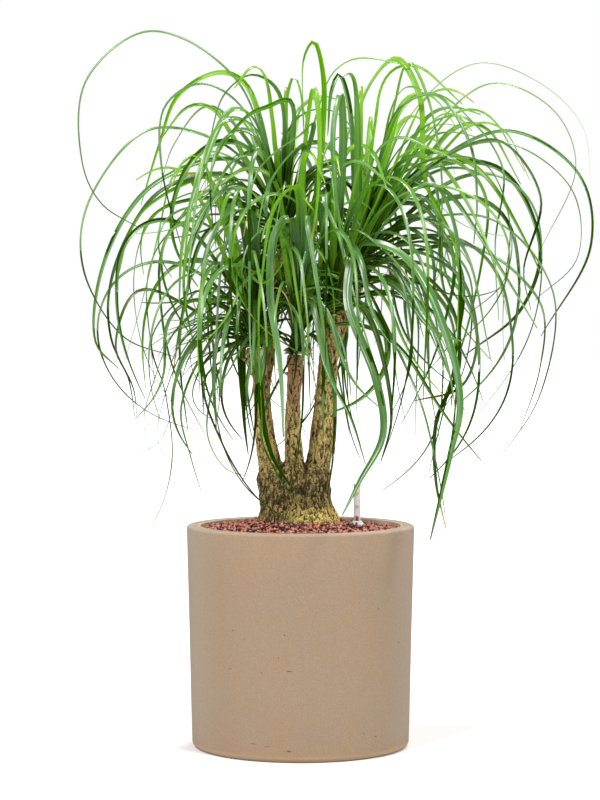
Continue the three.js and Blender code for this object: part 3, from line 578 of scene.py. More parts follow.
def add_limb(bm, rings, sides):
    """A closed tube through level ovals (x, y, z, half width, half depth)."""
    *start, wide, deep = rings[0]
    place = Matrix.Translation(Vector(start) * MM) @ Matrix.Diagonal((wide * MM, deep * MM, 1, 1))
    ring = bmesh.ops.create_circle(bm, cap_ends=True, segments=sides, radius=1, matrix=place)["verts"]
    edges = [edge for edge in bm.edges if edge.verts[0] in ring and edge.verts[1] in ring]
    for before, after in zip(rings, rings[1:]):
        made = bmesh.ops.extrude_edge_only(bm, edges=edges)["geom"]
        edges = [item for item in made if isinstance(item, bmesh.types.BMEdge)]
        edges = [edge for edge in edges if len(edge.link_faces) == 1]
        verts = list({vert for edge in edges for vert in edge.verts})
        middle = Vector(before[:3]) * MM
        grow = Matrix.Diagonal((after[3] / before[3], after[4] / before[4], 1, 1))
        shift = Matrix.Translation(Vector(after[:3]) * MM) @ grow @ Matrix.Translation(-middle)
        bmesh.ops.transform(bm, matrix=shift, verts=verts)
    bmesh.ops.contextual_create(bm, geom=edges)


def stem_rings(places):
    """The ovals up a stem, with the radius eased between its places."""
    marks = [place[:3] for place in places]
    rough = sum((Vector(b) - Vector(a)).length for a, b in zip(marks, marks[1:]))
    count = int(rough / STEM_RING_PITCH)
    rings = []
    for k, point in enumerate(curve_through(marks, count, spaced=False)):
        along = k / count * (len(places) - 1)
        before = min(int(along), len(places) - 2)
        radius = places[before][3] + (places[before + 1][3] - places[before][3]) * (along - before)
        rings.append((*point, radius, radius))
    return rings


def melted(name, bm):
    """One even skin over everything in a bmesh."""
    mesh = bpy.data.meshes.new(name)
    bm.to_mesh(mesh)
    bm.free()
    rough = bpy.data.objects.new(name, mesh)
    bpy.context.scene.collection.objects.link(rough)
    remesh = rough.modifiers.new("skin", "REMESH")
    remesh.mode = "VOXEL"
    remesh.voxel_size = SKIN_VOXEL * MM
    ready = rough.evaluated_get(bpy.context.evaluated_depsgraph_get())
    skin = bmesh.new()
    skin.from_mesh(ready.to_mesh())
    bpy.data.objects.remove(rough)
    return skin


def seam(place, wide, tall, shift, reach):
    """1 along the seams between bark plates of a given size, and 0 away from them."""
    x, y, z = place
    at = Vector((x / wide, y / wide, z / tall)) + Vector(shift)
    return 1 - smooth(abs(noise.noise(at)), 0, reach)


def bark_relief(point):
    """How far the bark stands out at a point in millimetres, and how deep in a crack it is, 0 to 1."""
    at = point + noise.noise_vector(point / 26) * 3.5 + noise.noise_vector(point / 8) * 1.3
    knotty = 1 - smooth(point.z, *KNOTTY_TO)
    tall = PLATE_HEIGHT + (KNOTTY_HEIGHT - PLATE_HEIGHT) * knotty
    furrow = seam(at, wide=5.2, tall=tall, shift=(0, 0, 0), reach=0.17)
    crevice = 0.75 * seam(at, wide=3.4, tall=0.6 * tall, shift=(50, 0, 0), reach=0.12)
    split = 0.7 * seam(at, wide=9, tall=5.2, shift=(0, 30, 0), reach=0.10)
    crack = max(furrow, crevice, split)
    lumps = noise.fractal(point / 22, 0.9, 2.1, 4)
    ribs = noise.noise(Vector((at.x / 14, at.y / 14, at.z / 80)))
    in_fold = smooth(point.z, *FOLD_RISE) * (1 - smooth(point.y, *FOLD_FRONT))
    for middle in FOLDS:
        fold = math.exp(-((point.x - middle) / FOLD_HALF) ** 2) * in_fold
        ribs -= FOLD_DEPTH * fold
        crack = max(crack, 0.9 * fold)
    return 0.9 * ribs + (0.9 + 1.7 * knotty) * lumps - (1.2 + 0.7 * knotty) * crack, crack


noise.seed_set(BARK_SEED)
trunk = bmesh.new()
add_limb(trunk, FOOT_RINGS, FOOT_SIDES)
for places in STEMS:
    add_limb(trunk, stem_rings(places), STEM_SIDES)
for root, tip, radius in STUBS:
    end = STUB_TAPER * radius
    add_limb(trunk, [(*root, radius, radius), (*tip, end, end)], STUB_SIDES)
bmesh.ops.recalc_face_normals(trunk, faces=trunk.faces)
trunk = melted("trunk_rough", trunk)
for _ in range(SKIN_ROUNDS):
    bmesh.ops.smooth_vert(
        trunk, verts=trunk.verts, factor=0.5, use_axis_x=True, use_axis_y=True, use_axis_z=True,
    )
trunk.normal_update()
crack_layer = trunk.verts.layers.float.new("crack")
moved = []
for vert in trunk.verts:
    at = vert.co / MM
    reach, vert[crack_layer] = bark_relief(at)
    raised = smooth(at.z, *BARK_FROM)
    moved.append((vert, vert.co + vert.normal * reach * raised * MM))
for vert, place in moved:
    vert.co = place


def bark_material():
    material, tree, shader, where = new_material("corky_bark")
    x, y, z = (part_of(tree, where, axis) for axis in "XYZ")
    cloud = grain(tree, where, 60, 4, 0.6)
    drawn_out = put(tree, "ShaderNodeMapping", {"Vector": where, "Scale": (1, 1, 0.3)}).outputs[0]
    fibre = grain(tree, drawn_out, 420, 4, 0.7)
    flake = grain(tree, drawn_out, 250, 3, 0.6)
    # Corky tan plates over brown, with less tan where the foot is knotty, and darker low down: darker
    # foot bark with painted shade under and between the stems
    knotty = ramp(tree, z, 0.39, 0.47, 1, 0)
    clouded = times(tree, from_middle(tree, cloud), 0.35)
    tan = maths(tree, "ADD", maths(tree, "SUBTRACT", flake, times(tree, knotty, 0.115)), clouded)
    colour = blend_colour(tree, ramp(tree, tan, 0.30, 0.54), BARK_BROWN, BARK_TAN)
    colour = shaded(tree, colour, fibre, 0.5, 1.3)
    # Painted shade and darker foot bark: darker below where the stems part
    colour = blend_colour(tree, 1.0, colour, ramp(tree, z, 0.395, 0.475, 0.56, 1.02), "MULTIPLY")
    # Young pink bark at the top of the middle stem
    off_stem = maths(tree, "ABSOLUTE", maths(tree, "ADD", x, 0.009))
    on_stem = times(tree, ramp(tree, off_stem, 0.018, 0.026, 1, 0), ramp(tree, y, 0.012, 0.02, 1, 0))
    pink = times(tree, on_stem, ramp(tree, z, 0.49, 0.57, 0, 0.8))
    colour = blend_colour(tree, pink, colour, BARK_PINK)
    # Pale yellow flakes low on the right of the foot
    low_right = times(tree, ramp(tree, z, 0.35, 0.38, 1, 0), ramp(tree, x, -0.035, 0.01))
    moss = times(tree, low_right, ramp(tree, flake, 0.36, 0.52, 0, 0.9))
    colour = blend_colour(tree, moss, colour, BARK_MOSS)
    cracked = ramp(tree, painted(tree, "crack"), 0.25, 0.9, 0, 0.95)
    colour = blend_colour(tree, cracked, colour, BARK_CRACK)
    tree.links.new(colour, shader.inputs["Base Color"])
    shader.inputs["Roughness"].default_value = 0.85
    shader.inputs["Specular IOR Level"].default_value = 0.2
    bump(tree, shader, maths(tree, "ADD", fibre, flake), 0.8, 0.0012)
    return material


finish_piece("trunk_bark", trunk, bark_material(), "trunk", 180)

# ---- Leaves ----
# Long leathery straps, channelled along the middle, that rise from a slim core, arch over and
# hang. Each head's leaves grow in a spiral, the outer ones low and the inner ones upright.

# Each head: the foot, height and radius of its core, how many leaves are tried, their lengths
# and widths, which way it leans and by how much, and a heading that is open to either side.
HEADS = {
    "left": dict(
        foot=(-70, 8, 612), tall=62, round=13, leaves=50, long=(340, 560), wide=(5, 11),
        lean=(190, 12)),
    "centre": dict(
        foot=(-6, -6, 602), tall=56, round=13, leaves=36, long=(340, 580), wide=(6, 13),
        lean=(265, 8)),
    "right": dict(
        foot=(50, 10, 662), tall=62, round=13, leaves=54, long=(400, 680), wide=(6, 13),
        lean=(320, 12)),
    "upper": dict(
        foot=(-26, 52, 765), tall=66, round=12, leaves=56, long=(420, 720), wide=(5, 11),
        lean=(165, 10), open=(300, 40)),
    "fan": dict(
        foot=(88, 44, 722), tall=66, round=12, leaves=66, long=(460, 780), wide=(6, 13),
        lean=(20, 12), open=(270, 50)),
}
# Leaves that can be told apart from in front, from the root outwards: [head, width, places]
PLACED_LEAVES = [
    ("upper", 6,
      (-100, 10, 1025), (-230, -10, 1095), (-325, -25, 1020), (-330, -40, 890),
      (-300, -50, 830), (-245, -60, 795)),
    ("upper", 8,
      (-105, 0, 915), (-230, -10, 945), (-325, -15, 830), (-330, -20, 730),
      (-270, -25, 630), (-195, -30, 600)),
    ("upper", 9, (-100, 20, 900), (-230, 20, 860), (-300, 15, 750), (-315, 10, 620), (-280, 10, 580)),
    ("upper", 10, (-85, 0, 975), (-150, -15, 1015), (-205, -30, 980), (-210, -45, 890), (-170, -60, 730)),
    ("upper", 9, (-85, 65, 1020), (-125, 70, 1040), (-190, 75, 1005), (-220, 80, 930), (-250, 90, 835)),
    ("upper", 11, (-35, 15, 1005), (-75, 0, 1030), (-115, -15, 1000), (-135, -40, 935), (-145, -50, 850)),
    ("upper", 8, (-80, 90, 930), (-145, 100, 990), (-200, 115, 930), (-225, 120, 850)),
    ("upper", 13,
      (-75, -45, 965), (-105, -65, 970), (-150, -95, 870), (-175, -120, 770), (-180, -130, 680)),
    ("upper", 10,
      (-110, -10, 875), (-215, -10, 850), (-285, -15, 730), (-290, -15, 630),
      (-255, -20, 550), (-250, -20, 505)),
    ("upper", 9, (-20, 40, 1000), (-10, 35, 1030), (0, 30, 1005), (5, 30, 940)),
    ("centre", 16,
      (-15, -80, 810), (-35, -100, 790), (-45, -125, 700), (-30, -155, 590), (-25, -190, 485)),
    ("centre", 17,
      (-5, -85, 855), (-35, -110, 830), (-60, -150, 690), (-60, -180, 590), (-55, -210, 485)),
    ("centre", 13, (25, 0, 840), (35, -10, 1030), (20, -15, 1080), (5, -20, 1055), (5, -30, 950)),
    ("centre", 12, (10, -35, 945), (20, -60, 1005), (28, -75, 950), (25, -95, 835), (15, -110, 760)),
    ("centre", 9, (15, -90, 685), (40, -120, 580), (75, -135, 510), (95, -150, 445)),
    ("right", 15, (65, -35, 930), (60, -65, 995), (50, -80, 950), (52, -100, 850), (65, -120, 750)),
    ("right", 13,
      (75, -95, 750), (70, -120, 680), (110, -150, 570), (120, -165, 490),
      (84, -185, 420), (60, -200, 375)),
    ("right", 14,
      (95, -70, 770), (160, -105, 745), (220, -140, 620), (235, -155, 530),
      (220, -175, 460), (190, -190, 335)),
    ("right", 8, (90, -90, 700), (145, -115, 630), (145, -130, 530), (130, -140, 450), (145, -160, 375)),
    ("right", 8,
      (135, -50, 745), (220, -50, 690), (240, -55, 590), (205, -55, 500),
      (205, -60, 410), (220, -60, 340)),
    ("right", 7, (150, -40, 760), (240, -60, 720), (265, -75, 620), (240, -90, 555), (170, -110, 535)),
    ("fan", 9, (75, 55, 990), (60, 52, 1035), (48, 45, 1010), (42, 40, 940)),
    ("fan", 12,
      (95, 40, 990), (145, 10, 1055), (180, -20, 1000), (190, -40, 865),
      (235, -65, 760), (235, -90, 620)),
    ("fan", 12,
      (140, 10, 965), (165, -5, 1050), (195, -20, 990), (215, -35, 860),
      (205, -50, 720), (195, -60, 640)),
    ("fan", 11, (150, -30, 975), (205, -40, 995), (255, -60, 920), (265, -75, 830), (260, -80, 770)),
    ("fan", 4, (170, 30, 970), (270, 30, 1050), (370, 35, 1020), (435, 35, 955), (450, 40, 870)),
    ("fan", 5, (190, -10, 930), (290, -15, 1015), (385, -15, 975), (420, -15, 890), (365, -20, 760)),
    ("fan", 6, (200, 0, 890), (320, 15, 945), (430, 35, 880), (450, 45, 770), (375, 60, 630)),
    ("fan", 7, (180, -30, 880), (305, -35, 925), (410, -40, 855), (420, -45, 750), (355, -50, 685)),
    ("fan", 9, (165, -60, 860), (295, -70, 925), (360, -75, 840), (335, -80, 730), (345, -90, 670)),
    ("fan", 9, (185, 60, 885), (310, 70, 890), (375, 85, 770), (345, 90, 670), (260, 100, 600)),
    ("fan", 8, (180, -60, 890), (275, -85, 890), (315, -105, 780), (300, -120, 710), (250, -130, 665)),
    ("fan", 11, (150, -20, 915), (240, -30, 965), (305, -35, 890), (295, -40, 770), (300, -50, 655)),
    ("fan", 8, (130, 10, 790), (290, 0, 810), (385, -15, 700), (365, -25, 540), (305, -30, 445)),
    ("fan", 10, (130, 60, 745), (265, 70, 770), (375, 75, 680), (375, 80, 580), (345, 90, 480)),
    ("left", 13,
      (-90, -75, 800), (-110, -95, 770), (-125, -120, 630), (-120, -140, 490),
      (-85, -155, 415), (-15, -170, 355)),
    ("left", 6,
      (-145, -60, 685), (-235, -75, 615), (-280, -82, 510), (-260, -95, 465), (-225, -100, 480)),
    ("left", 6,
      (-155, 40, 700), (-230, 45, 630), (-210, 50, 540), (-200, 55, 440),
      (-215, 58, 370), (-245, 60, 310)),
    ("left", 8, (-145, -30, 640), (-205, -37, 590), (-210, -48, 490), (-195, -55, 420), (-170, -60, 405)),
    ("left", 7, (-130, -80, 655), (-180, -105, 560), (-170, -120, 485), (-125, -130, 445)),
    ("left", 8, (-135, 70, 670), (-185, 85, 590), (-165, 100, 480), (-120, 110, 450)),
]
# How far a placed leaf may be moved back or forward to hang clear
PLACED_SHIFTS = (0, 12, -12, 24, -24, 36, -36, 50, -50, 65, -65)
# The straight runs of a leaf of the plain model, and how much a bend draws their ends to it
LEAF_SEGMENTS = 6
BEND_SHARE = 0.35
LEAF_SAMPLES = 120
ROOT_SUNK = 5
LOWEST_RISE = 24
HIGHEST_RISE = 84
# A leaf is tried afresh this often, the first times clear of its own head's leaves too
LEAF_TRIES = 16
FUSSY_TRIES = 12
FREE_FROM = 28
LEAF_CLEARANCE = 1.2
# How much room the stems, the cores and the gauge take up, in balls this far apart
TRUNK_REACH = 17
STEM_BALLS = 60
CORE_REACH = 3
CORE_BALL_PITCH = 8
GAUGE_BALL_PITCH = 6
OVER_GAUGE = 20
# Leaves keep off the planter's rim and the swollen foot: [beyond the radius, below the height]
OFF_RIM = (12, 14)
OFF_FOOT = (76, 450)
FOOT_AXIS = (-6, 22)
# Width at the root and the tip, as shares of a leaf's broadest
ROOT_WIDTH = 0.45
TIP_WIDTH = 0.14
# Where leaves root on a core: above its foot, short of its height in all, and how it tapers
LOWEST_ROOT = 6
ROOT_MARGIN = 14
CORE_TAPER = 0.75
GOLDEN_ANGLE = 137.508
# The crown's egg shape, and the room that all foliage stays in
CROWN_MIDDLE = (50, 0, 715)
CROWN_REACH = (385, 295, 350)
FOLIAGE_LOW = (-345, -300, 308)
FOLIAGE_HIGH = (455, 310, 1100)
GAUGE_TOP_Z = 394
# Balls that are taken up, by cubes of this size
CELL = 20
taken = {}


def cell_of(x, y, z):
    return (math.floor(x / CELL), math.floor(y / CELL), math.floor(z / CELL))


def occupy(point, radius, owner, sample=0):
    taken.setdefault(cell_of(*point), []).append((point[0], point[1], point[2], radius, owner, sample))


def meets(point, radius, owner, sample, fussy, cells):
    """Whether a ball on a leaf touches a stem, the gauge or another leaf."""
    x, y, z = point
    i, j, k = cell_of(x, y, z)
    for di in (-1, 0, 1):
        for dj in (-1, 0, 1):
            for dk in (-1, 0, 1):
                for bx, by, bz, size, other, place in cells.get((i + di, j + dj, k + dk), ()):
                    own = other == owner
                    if own and not (fussy and min(sample, place) > FREE_FROM):
                        continue
                    apart = 0.5 * (size + radius) if own else size + radius
                    if math.sqrt((bx - x) ** 2 + (by - y) ** 2 + (bz - z) ** 2) < apart:
                        return True
    return False


for places in STEMS:
    widest = max(place[3] for place in places)
    for point in curve_through([place[:3] for place in places], STEM_BALLS, spaced=False):
        occupy(point, min(widest, TRUNK_REACH), "trunk")
for z in range(POT_HEIGHT, GAUGE_TOP_Z + OVER_GAUGE, GAUGE_BALL_PITCH):
    occupy((*GAUGE, z), COLLAR_FOOT_RADIUS, "gauge")
for name, head in HEADS.items():
    for rise in range(CORE_BALL_PITCH // 2, head["tall"], CORE_BALL_PITCH):
        x, y, z = head["foot"]
        occupy((x, y, z + rise), head["round"] + CORE_REACH, name)
fixed = {cell: list(balls) for cell, balls in taken.items()}


def leaf_width(width, along, taper=2.2):
    """Drawn in at the root, broad for most of its length, then drawn out to a fine tip."""
    from_root = ROOT_WIDTH + (1 - ROOT_WIDTH) * smooth(along, 0, 0.16)
    return width * from_root * (1 - (1 - TIP_WIDTH) * along ** taper)


def inside_crown(path, share=1.0):
    """Whether a whole path lies inside the crown's egg shape, or a share of it."""
    for point in path:
        out = [(a - b) / reach for a, b, reach in zip(point, CROWN_MIDDLE, CROWN_REACH)]
        if math.hypot(*out) >= share:
            return False
    return True


def hangs_clear(runs, width, owner, fussy, cells):
    """Whether a leaf hangs clear of the planter, the other heads, the stems and the gauge."""
    for k, point in enumerate(runs):
        x, y, z = point
        if any(not low <= a <= high for a, low, high in zip(point, FOLIAGE_LOW, FOLIAGE_HIGH)):
            return False
        if math.hypot(x, y) < POT_RIM_RADIUS + OFF_RIM[0] and z < POT_HEIGHT + OFF_RIM[1]:
            return False
        if math.hypot(x - FOOT_AXIS[0], y - FOOT_AXIS[1]) < OFF_FOOT[0] and z < OFF_FOOT[1]:
            return False
        reach = 0.5 * leaf_width(width, k / (len(runs) - 1)) + LEAF_CLEARANCE
        if k >= 2 and meets(point, reach, owner, k, fussy, cells):
            return False
    return True


def root_of(head, heading, share):
    """The place on the core where a leaf with this heading grows, sunk well into it."""
    x, y, z = head["foot"]
    radius = head["round"] * (1 - CORE_TAPER * share) - ROOT_SUNK * (1 - share)
    rise = z + LOWEST_ROOT + share * (head["tall"] - ROOT_MARGIN)
    return Vector((x + radius * math.cos(heading), y + radius * math.sin(heading), rise))


def root_towards(head, first):
    """The root of a leaf that sets out for a given place, and how far up the core it grows."""
    x, y, z = head["foot"]
    heading = math.atan2(first[1] - y, first[0] - x)
    middle = z + head["tall"] / 2
    rise = math.degrees(math.atan2(first[2] - middle, math.hypot(first[0] - x, first[1] - y)))
    share = min(1, max(0, (rise - LOWEST_RISE) / (HIGHEST_RISE - LOWEST_RISE)))
    return root_of(head, heading, share), share


def arched_path(root, heading, turn_by, rise, fall, knee, bend, curl, length):
    """A leaf that rises at one slope, bends over at its knee and ends at another."""
    step = length / LEAF_SAMPLES
    path = [root]
    for k in range(LEAF_SAMPLES):
        along = (k + 0.5) / LEAF_SAMPLES
        slope = rise + (fall - rise) * smooth(along, knee - bend / 2, knee + bend / 2)
        slope += curl * smooth(along, 0.55, 1)
        way = heading + turn_by * along * along
        move = (math.cos(slope) * math.cos(way), math.cos(slope) * math.sin(way), math.sin(slope))
        path.append(path[k] + step * Vector(move))
    return path


def straight_runs(path):
    """The path with straight runs between its few main bends, as the plain model has it."""
    steps = [(b - a).normalized() for a, b in zip(path, path[1:])]
    gone = [0.0]
    for k in range(1, len(path)):
        bend = math.acos(max(-1, min(1, steps[k].dot(steps[k - 1])))) if k < len(steps) else 0
        gone.append(gone[-1] + 1 / len(path) + BEND_SHARE * bend)
    stops = []
    for s in range(LEAF_SEGMENTS + 1):
        target = gone[-1] * s / LEAF_SEGMENTS - 1e-9
        stops.append(next(k for k, value in enumerate(gone) if value >= target))
    runs = []
    for k in range(len(path)):
        after = max(1, next(n for n, stop in enumerate(stops) if stop >= k))
        start, end = stops[after - 1], stops[after]
        runs.append(path[start].lerp(path[end], (k - start) / (end - start)))
    return runs


leaves = {name: [] for name in HEADS}


def grow_if_clear(name, path, width, twist, fussy, share):
    """Grows a leaf and takes up its room, if it hangs clear."""
    runs = straight_runs(path)
    if not hangs_clear(runs, width, name, fussy, taken):
        return False
    leaves[name].append((path, width, twist, share))
    for k, point in enumerate(runs):
        occupy(point, 0.5 * leaf_width(width, k / (len(path) - 1)), name, k)
    return True


for index, (name, width, *places) in enumerate(PLACED_LEAVES):
    root, share = root_towards(HEADS[name], places[0])
    twist = math.radians(40 * math.sin(2.4 * index))
    for shift in PLACED_SHIFTS:
        marks = [(a, b + shift * min(1, 0.5 + k / 3), c) for k, (a, b, c) in enumerate(places)]
        path = curve_through([root, *marks], LEAF_SAMPLES)
        if grow_if_clear(name, path, width, twist, False, share):
            break


def between(draw, low, high):
    """The next number of a stream, spread from low to high."""
    return low + (high - low) * next(draw)


def spiral_leaf(head, order, i, attempt):
    """The path, width, twist and share of one leaf of a head, drawn afresh for each attempt."""
    share = i / (head["leaves"] - 1)
    draw = draws_from(1 + 100003 * (order + 1) + 977 * i + 31 * attempt)
    for _ in range(4):
        next(draw)
    lean_way, lean = head["lean"]
    stray = (7 + 3 * attempt) * between(draw, -1, 1)
    heading = math.radians(i * GOLDEN_ANGLE + stray)
    if "open" in head:
        open_way, open_half = (math.radians(angle) for angle in head["open"])
        if math.cos(heading - open_way) > math.cos(open_half):
            return None
    lean_to = math.cos(heading - math.radians(lean_way))
    level = LOWEST_RISE + (HIGHEST_RISE - LOWEST_RISE) * share + between(draw, -4, 4)
    rise = math.radians(level - lean * lean_to)
    fall = math.radians(between(draw, -52, -104))
    knee = 0.22 + 0.18 * share + between(draw, -0.064, 0.096)
    bend = between(draw, 0.4, 0.8)
    turn_by = math.radians(between(draw, -55, 55))
    curl = math.radians(between(draw, -71.5, 58.5))
    length = between(draw, *head["long"]) * (1 + 0.12 * lean_to) * (1 - 0.035 * attempt)
    low, high = head["wide"]
    width = low + (high - low) * next(draw) ** 1.3
    twist = math.radians(between(draw, -55, 55))
    root = root_of(head, heading, share)
    path = arched_path(root, heading, turn_by, rise, fall, knee, bend, curl, length)
    return path, width, twist, share


for order, (name, head) in enumerate(HEADS.items()):
    for i in range(head["leaves"]):
        for attempt in range(LEAF_TRIES):
            leaf = spiral_leaf(head, order, i, attempt)
            if leaf is None or not inside_crown(leaf[0]):
                continue
            path, width, twist, share = leaf
            if grow_if_clear(name, path, width, twist, attempt < FUSSY_TRIES, share):
                break

# Broad leaves that hang in front of the heads, from the root outwards: [head, width, places]
FRONT_LEAVES = [
    ("left", 5, (-120, -40, 660), (-170, -60, 620), (-205, -70, 540), (-215, -75, 470), (-190, -80, 440)),
    ("left", 5, (-110, -50, 650), (-150, -70, 600), (-180, -80, 520), (-165, -90, 450), (-150, -90, 400)),
    ("left", 6, (-120, 10, 690), (-190, 0, 640), (-225, -10, 560), (-240, -10, 500), (-225, -10, 430)),
    ("left", 4, (-100, -40, 620), (-130, -60, 560), (-140, -75, 480), (-110, -85, 430), (-70, -90, 420)),
    ("left", 5, (-130, -10, 650), (-185, -20, 590), (-195, -30, 520), (-215, -40, 470), (-250, -40, 450)),
    ("upper", 10, (20, -25, 955), (0, -45, 935), (-35, -65, 910), (-65, -85, 875), (-85, -100, 780)),
    ("upper", 9, (-15, 0, 990), (-50, -15, 980), (-80, -30, 965), (-125, -60, 905), (-140, -70, 860)),
    ("upper", 11, (5, -40, 920), (-15, -60, 905), (-40, -85, 870), (-55, -100, 835), (-65, -110, 780)),
    ("upper", 9, (-60, 30, 920), (-95, 10, 900), (-115, -10, 855), (-125, -20, 790)),
    ("left", 11,
      (-75, -60, 820), (-105, -85, 815), (-130, -105, 785), (-150, -135, 640), (-140, -135, 565)),
    ("left", 9, (-115, -20, 900), (-145, -40, 900), (-160, -60, 850), (-175, -85, 710), (-165, -85, 640)),
    ("left", 8, (-110, 10, 875), (-160, -10, 870), (-235, -35, 825), (-260, -45, 785), (-275, -50, 725)),
    ("left", 10, (-95, -60, 670), (-120, -90, 640), (-130, -110, 565), (-125, -115, 490)),
    ("left", 4, (-145, -60, 565), (-120, -85, 475), (-65, -110, 390), (-15, -120, 355)),
    ("centre", 4, (-60, -90, 490), (-35, -105, 425), (10, -115, 360)),
    ("centre", 10, (15, -95, 810), (10, -120, 805), (15, -135, 770), (25, -155, 705), (45, -175, 560)),
    ("centre", 9, (-45, -50, 640), (-65, -80, 615), (-80, -100, 560), (-70, -105, 490)),
    ("right", 10, (30, -60, 835), (55, -90, 785), (75, -125, 705), (95, -150, 635), (120, -165, 560)),
    ("right", 8, (140, -70, 815), (195, -90, 860), (230, -100, 795), (230, -95, 505), (210, -90, 400)),
    ("right", 9, (75, -60, 790), (125, -95, 760), (170, -120, 700), (220, -135, 605)),
    ("right", 10, (80, -60, 685), (105, -90, 655), (125, -110, 590), (135, -120, 505), (120, -120, 445)),
    ("fan", 5, (180, -60, 535), (200, -70, 460), (215, -70, 385), (220, -70, 345)),
    ("left", 6, (-245, -40, 700), (-280, -50, 615), (-260, -55, 565), (-250, -60, 505)),
]
# Straight young leaves in the middle of each head: [leaves, lean heading, lean, spread in degrees]
UPRIGHT_LEAVES = {
    "left": (9, 190, 8, 24), "centre": (9, 270, 6, 20), "right": (9, 330, 12, 26),
    "upper": (7, 140, 10, 34), "fan": (15, 0, 22, 30),
}
# Slim leaves that curl, for each head, their widths, and how low they may hang
SLIM_LEAVES = {"left": 80, "centre": 44, "right": 22, "upper": 22, "fan": 10}
SLIM_TRIES = 6
SLIM_WIDTHS = (2.2, 7)
SLIM_LOWEST = (430, 640)
SLIM_REACH = 0.8
SPARSE = 4
FEWEST_POINTS = 8
# Few slim leaves hang between the stems, which lie within this of the middle
STEM_GAP = 75
# The open face of the fan, where few leaves hang in front
FACE_LEFT = 55
FACE_LOW = 730
FACE_FRONT = 10
DRY_SHARE = 0.09
# Dry bases of old leaves round the foot of each head
BASE_COUNT = 16
BASE_LONG = (10, 19)
BASE_WIDE = (6, 9)
BASE_RADIUS = 8
slim = {name: [] for name in HEADS}
bases = {name: [] for name in HEADS}

for index, (name, width, *places) in enumerate(FRONT_LEAVES):
    root, share = root_towards(HEADS[name], places[0])
    path = curve_through([root, *places], LEAF_SAMPLES)
    slim[name].append((path, width, math.radians(50 * math.sin(3.1 * index + 1)), share))


def slim_leaf(head, draw):
    """The path, width, twist and share of one of the slim leaves, which bend and curl more."""
    share = next(draw)
    heading = math.tau * next(draw)
    lean_way, lean = head["lean"]
    lean_to = math.cos(heading - math.radians(lean_way))
    rise = math.radians(2 + 72 * share - lean * lean_to + between(draw, -13, 13))
    fall = math.radians(between(draw, -20, -80))
    knee = between(draw, 0.2, 0.55)
    bend = between(draw, 0.5, 1.2)
    turn_by = math.radians(between(draw, -60, 60))
    curl = math.radians(between(draw, -100, 100))
    length = between(draw, 0.4, 1.05) * head["long"][0] * (1 + 0.12 * lean_to)
    width = SLIM_WIDTHS[0] + (SLIM_WIDTHS[1] - SLIM_WIDTHS[0]) * next(draw) ** 1.3
    twist = math.radians(between(draw, -130, 130))
    root = root_of(head, heading, 0.9 * share)
    path = arched_path(root, heading, turn_by, rise, fall, knee, bend, curl, length)
    lowest = between(draw, *SLIM_LOWEST)
    lowest_by_stems = SLIM_LOWEST[1] + 0.3 * (lowest - SLIM_LOWEST[0])
    for k, point in enumerate(path):
        if point.z < (lowest if abs(point.x) > STEM_GAP else lowest_by_stems):
            path = path[:k]
            break
    return path, width, twist, share


def hides_fan(path):
    """Whether a leaf hangs in front of the open face of the fan."""
    return any(x > FACE_LEFT and y < FACE_FRONT and z > FACE_LOW for x, y, z in path)


def upright_leaf(head, lean_way, lean, spread, i, count, draw):
    """The path, width, twist and share of one of the straight young leaves."""
    heading = math.radians(i * GOLDEN_ANGLE)
    out = math.radians(spread * ((i + 0.5) / count) ** 0.5)
    aim = Vector((math.sin(out) * math.cos(heading), math.sin(out) * math.sin(heading), 1))
    leaning = Vector((math.cos(math.radians(lean_way)), math.sin(math.radians(lean_way)), 0))
    aim += math.tan(math.radians(lean)) * leaning
    rise = math.atan2(aim.z, math.hypot(aim.x, aim.y))
    heading = math.atan2(aim.y, aim.x)
    length = between(draw, 0.7, 1.2) * head["long"][0]
    width = between(draw, 9, 14)
    fall = math.radians(between(draw, -10, -70))
    knee = between(draw, 0.68, 0.82)
    turn_by = math.radians(between(draw, -25, 25))
    twist = math.radians(between(draw, -30, 30))
    root = root_of(head, heading, 0.75)
    path = arched_path(root, heading, turn_by, rise, fall, knee, 0.34, 0, length)
    while not inside_crown(path):
        length *= 0.94
        path = arched_path(root, heading, turn_by, rise, fall, knee, 0.34, 0, length)
    return path, width, twist, 1


for order, (name, head) in enumerate(HEADS.items()):
    draw = draws_from(424242 + 1009 * order)
    count, lean_way, lean, spread = UPRIGHT_LEAVES[name]
    for i in range(count):
        slim[name].append(upright_leaf(head, lean_way, lean, spread, i, count, draw))
    wanted = len(slim[name]) + SLIM_LEAVES[name]
    for _ in range(SLIM_TRIES * wanted):
        if len(slim[name]) == wanted:
            break
        leaf = slim_leaf(head, draw)
        sparse = leaf[0][::SPARSE]
        if hides_fan(sparse) or len(sparse) < FEWEST_POINTS or not inside_crown(sparse, SLIM_REACH):
            continue
        if hangs_clear(sparse, leaf[1], name, False, fixed):
            slim[name].append(leaf)

for order, (name, head) in enumerate(HEADS.items()):
    draw = draws_from(9100 + 37 * order)
    for i in range(BASE_COUNT):
        heading = math.radians(i * GOLDEN_ANGLE)
        rise = math.radians(between(draw, -5, 55))
        length = between(draw, *BASE_LONG)
        wide = next(draw)
        width = BASE_WIDE[0] + (BASE_WIDE[1] - BASE_WIDE[0]) * wide
        out = BASE_RADIUS * Vector((math.cos(heading), math.sin(heading), 0))
        root = Vector(head["foot"]) + out + Vector((0, 0, between(draw, 1, 10)))
        path = arched_path(root, heading, 0, rise, rise - 0.6, 0.4, 0.5, 0, length)
        bases[name].append((path, width, 0.6 * (wide - 0.5), 1))

